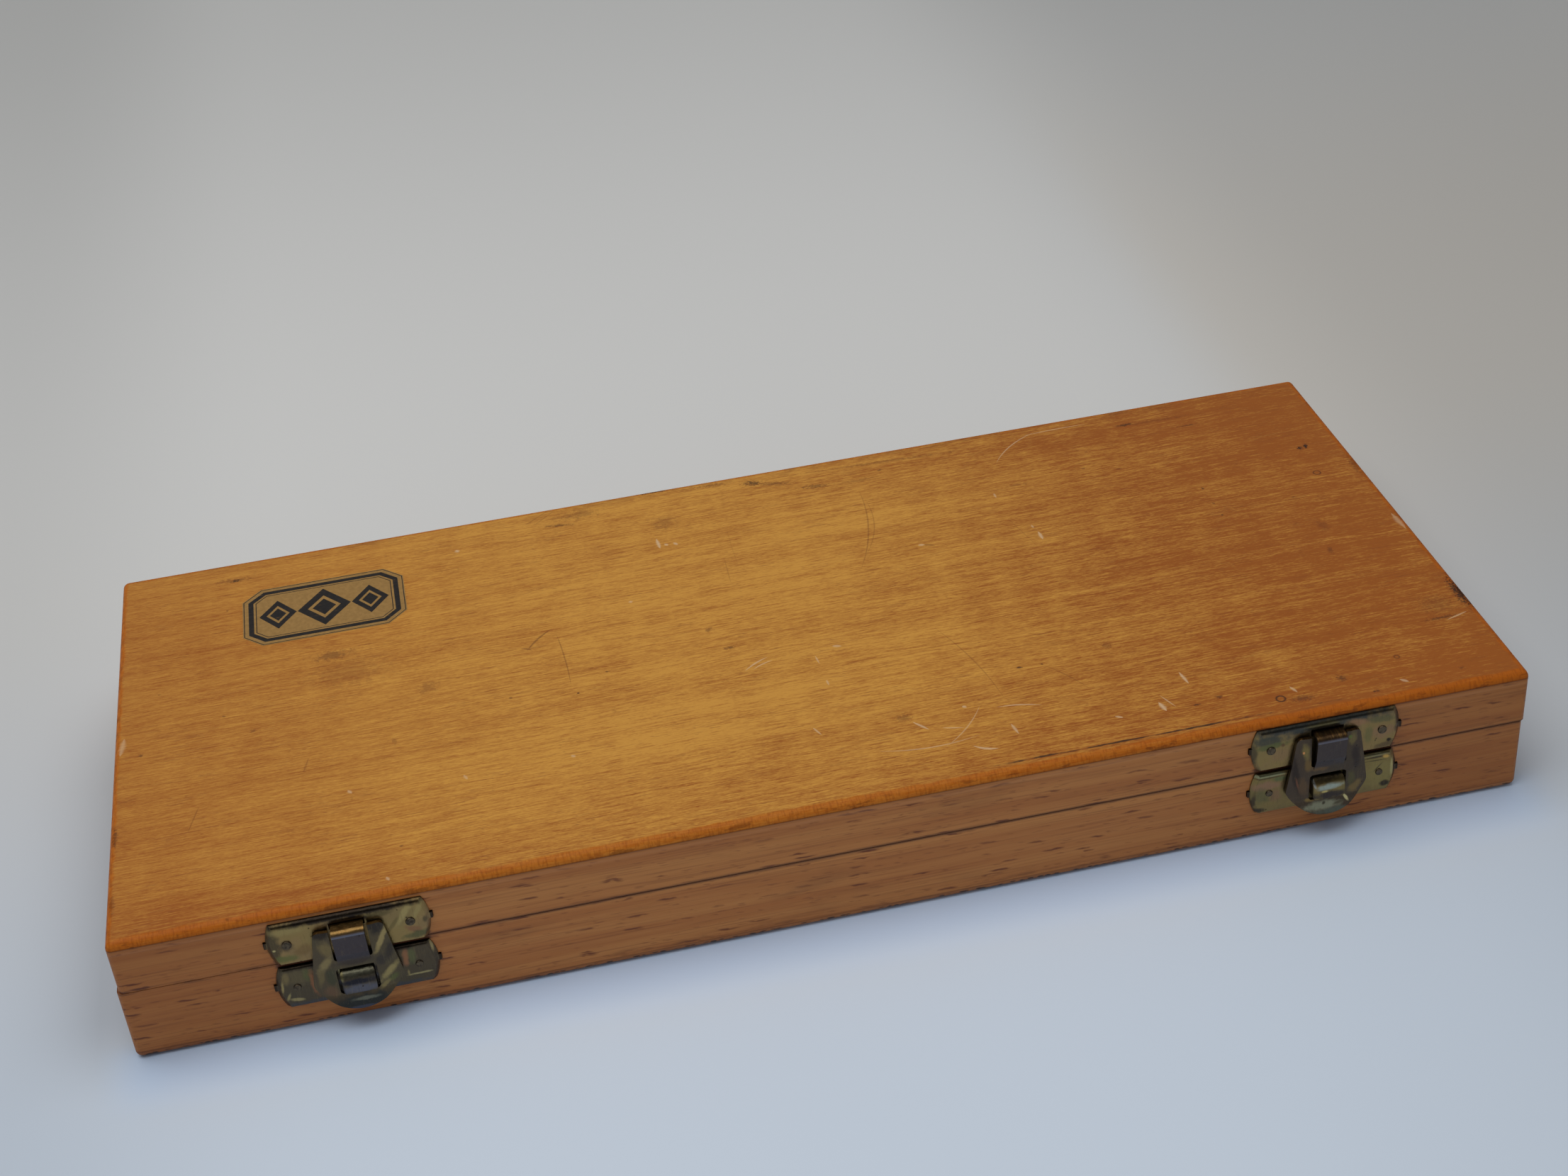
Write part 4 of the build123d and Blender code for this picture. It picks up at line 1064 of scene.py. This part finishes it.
def floor():
    """A pale table with painted light and shade: cooler towards the viewer, a little darker far away,
    to the right and off the middle.
    """
    g = Skin("pale_table")
    x, y = g.parts(g.place)[:2]
    # Painted cooler light towards the viewer.
    near = g.step(y, 120, -100)
    colour = g.mix(near, (221, 221, 219), (214, 226, 240))
    # Painted shade: darker far away, to the right, towards both sides and off the middle.
    colour = g.tint(colour, (160, 161, 158), g.step(y, 120, 620), 0.35)
    colour = g.tint(colour, (170, 171, 170), g.step(x, 60, 360), 0.4)
    off_middle = g.times(near, g.step(g.math("ABSOLUTE", g.plus(x, 20)), 40, 150))
    shade = g.plus(g.times(g.step(x, -110, -200), 0.14), g.times(g.step(x, 110, 220), 0.17))
    shade = g.plus(shade, g.times(off_middle, 0.05))
    # Closer shadows than the broad light makes: left of the case, and bluer in front of it.
    off_end = g.over(g.apart(x, LEFT_X), SHADOW_REACH)
    beside = g.math("POWER", g.most(g.less(1, off_end), 0), 2)
    beside = g.least(g.times(beside, 0.43), 0.24)
    beside = g.times(beside, g.steps((y, -80, -50), (y, 78, 25)))
    colour = g.tint(colour, (0, 0, 0), g.plus(shade, beside))
    foot = g.steps((y, -86, -70), (y, -60, -66))
    foot = g.times(foot, g.step(g.math("ABSOLUTE", x), 160, 146))
    colour = g.mix(foot, colour, (0.9, 0.99, 1.12, 1), "MULTIPLY")
    # Painted warmer, slightly darker light beyond the case's right end.
    warm = g.steps((y, -105, -55), (y, 420, 160))
    warm = g.times(g.step(x, 138, 172), warm)
    colour = g.mix(warm, colour, (0.98, 0.94, 0.89, 1), "MULTIPLY")
    rough = g.blend(g.noise(g.place, 0.02, 2), 0.55, 0.6)
    material = g.finish(colour, rough, g.noise(g.place, 0.8), 0.01, TABLE_SHINE)
    h = FLOOR_HALF
    corners = [(-h, -h, 0), (h, -h, 0), (h, h, 0), (-h, h, 0)]
    table = mesh_object("table_floor", corners, [(0, 1, 2, 3)], [material])


def lights():
    """A broad soft light high up, and a room: bright above and low in front, dimmer between."""
    lamp = bpy.data.lights.new("soft_above", "AREA")
    lamp.shape = "RECTANGLE"
    lamp.size, lamp.size_y = 1.2, 1.1  # metres
    lamp.energy = 9.3
    lamp.color = (1, 0.99, 0.97)
    lit = linked("soft_above", lamp)
    lit.location = (-0.42, -0.06, 1.38)
    lit.rotation_euler = (-lit.location).to_track_quat("-Z", "Y").to_euler()
    world = bpy.data.worlds.new("studio")
    bpy.context.scene.world = world
    world.use_nodes = True
    world.node_tree.nodes.clear()
    g = Graph(world.node_tree)
    y, z = g.parts(g.node("TexCoord").outputs["Generated"])[1:]
    room = g.mix(g.step(y, -0.2, 0.8), (0.2, 0.205, 0.215, 1), (0.23, 0.23, 0.23, 1))
    low_front = g.steps((z, 0.42, 0.05), (y, 0.1, -0.6))
    room = g.mix(low_front, room, (0.66, 0.7, 0.78, 1))
    room = g.mix(g.step(z, 0.8, 0.98), room, (0.95, 0.96, 0.98, 1))
    sky = g.node("Background", {"Color": room, "Strength": 1.0})
    g.node("OutputWorld", {0: sky.outputs[0]})


def camera():
    data = bpy.data.cameras.new("camera")
    data.sensor_width = SENSOR
    data.lens = FOCAL_PX / IMAGE_WIDTH * SENSOR
    data.clip_start = 0.01
    view = linked("camera", data)
    turn, dip, roll = radians(CAMERA_TURN), radians(CAMERA_DIP), radians(CAMERA_ROLL)
    ahead = Vector((sin(turn) * cos(dip), cos(turn) * cos(dip), -sin(dip)))
    level = ahead.to_track_quat("-Z", "Y").to_matrix()
    place = Matrix.Translation(Vector(CAMERA_PLACE) * MM)
    view.matrix_world = place @ (level @ Matrix.Rotation(-roll, 3, "Z")).to_4x4()
    bpy.context.scene.camera = view


def main():
    camera()
    dress_all()
    floor()
    lights()
    bpy.context.scene.view_settings.view_transform = "Standard"


main()
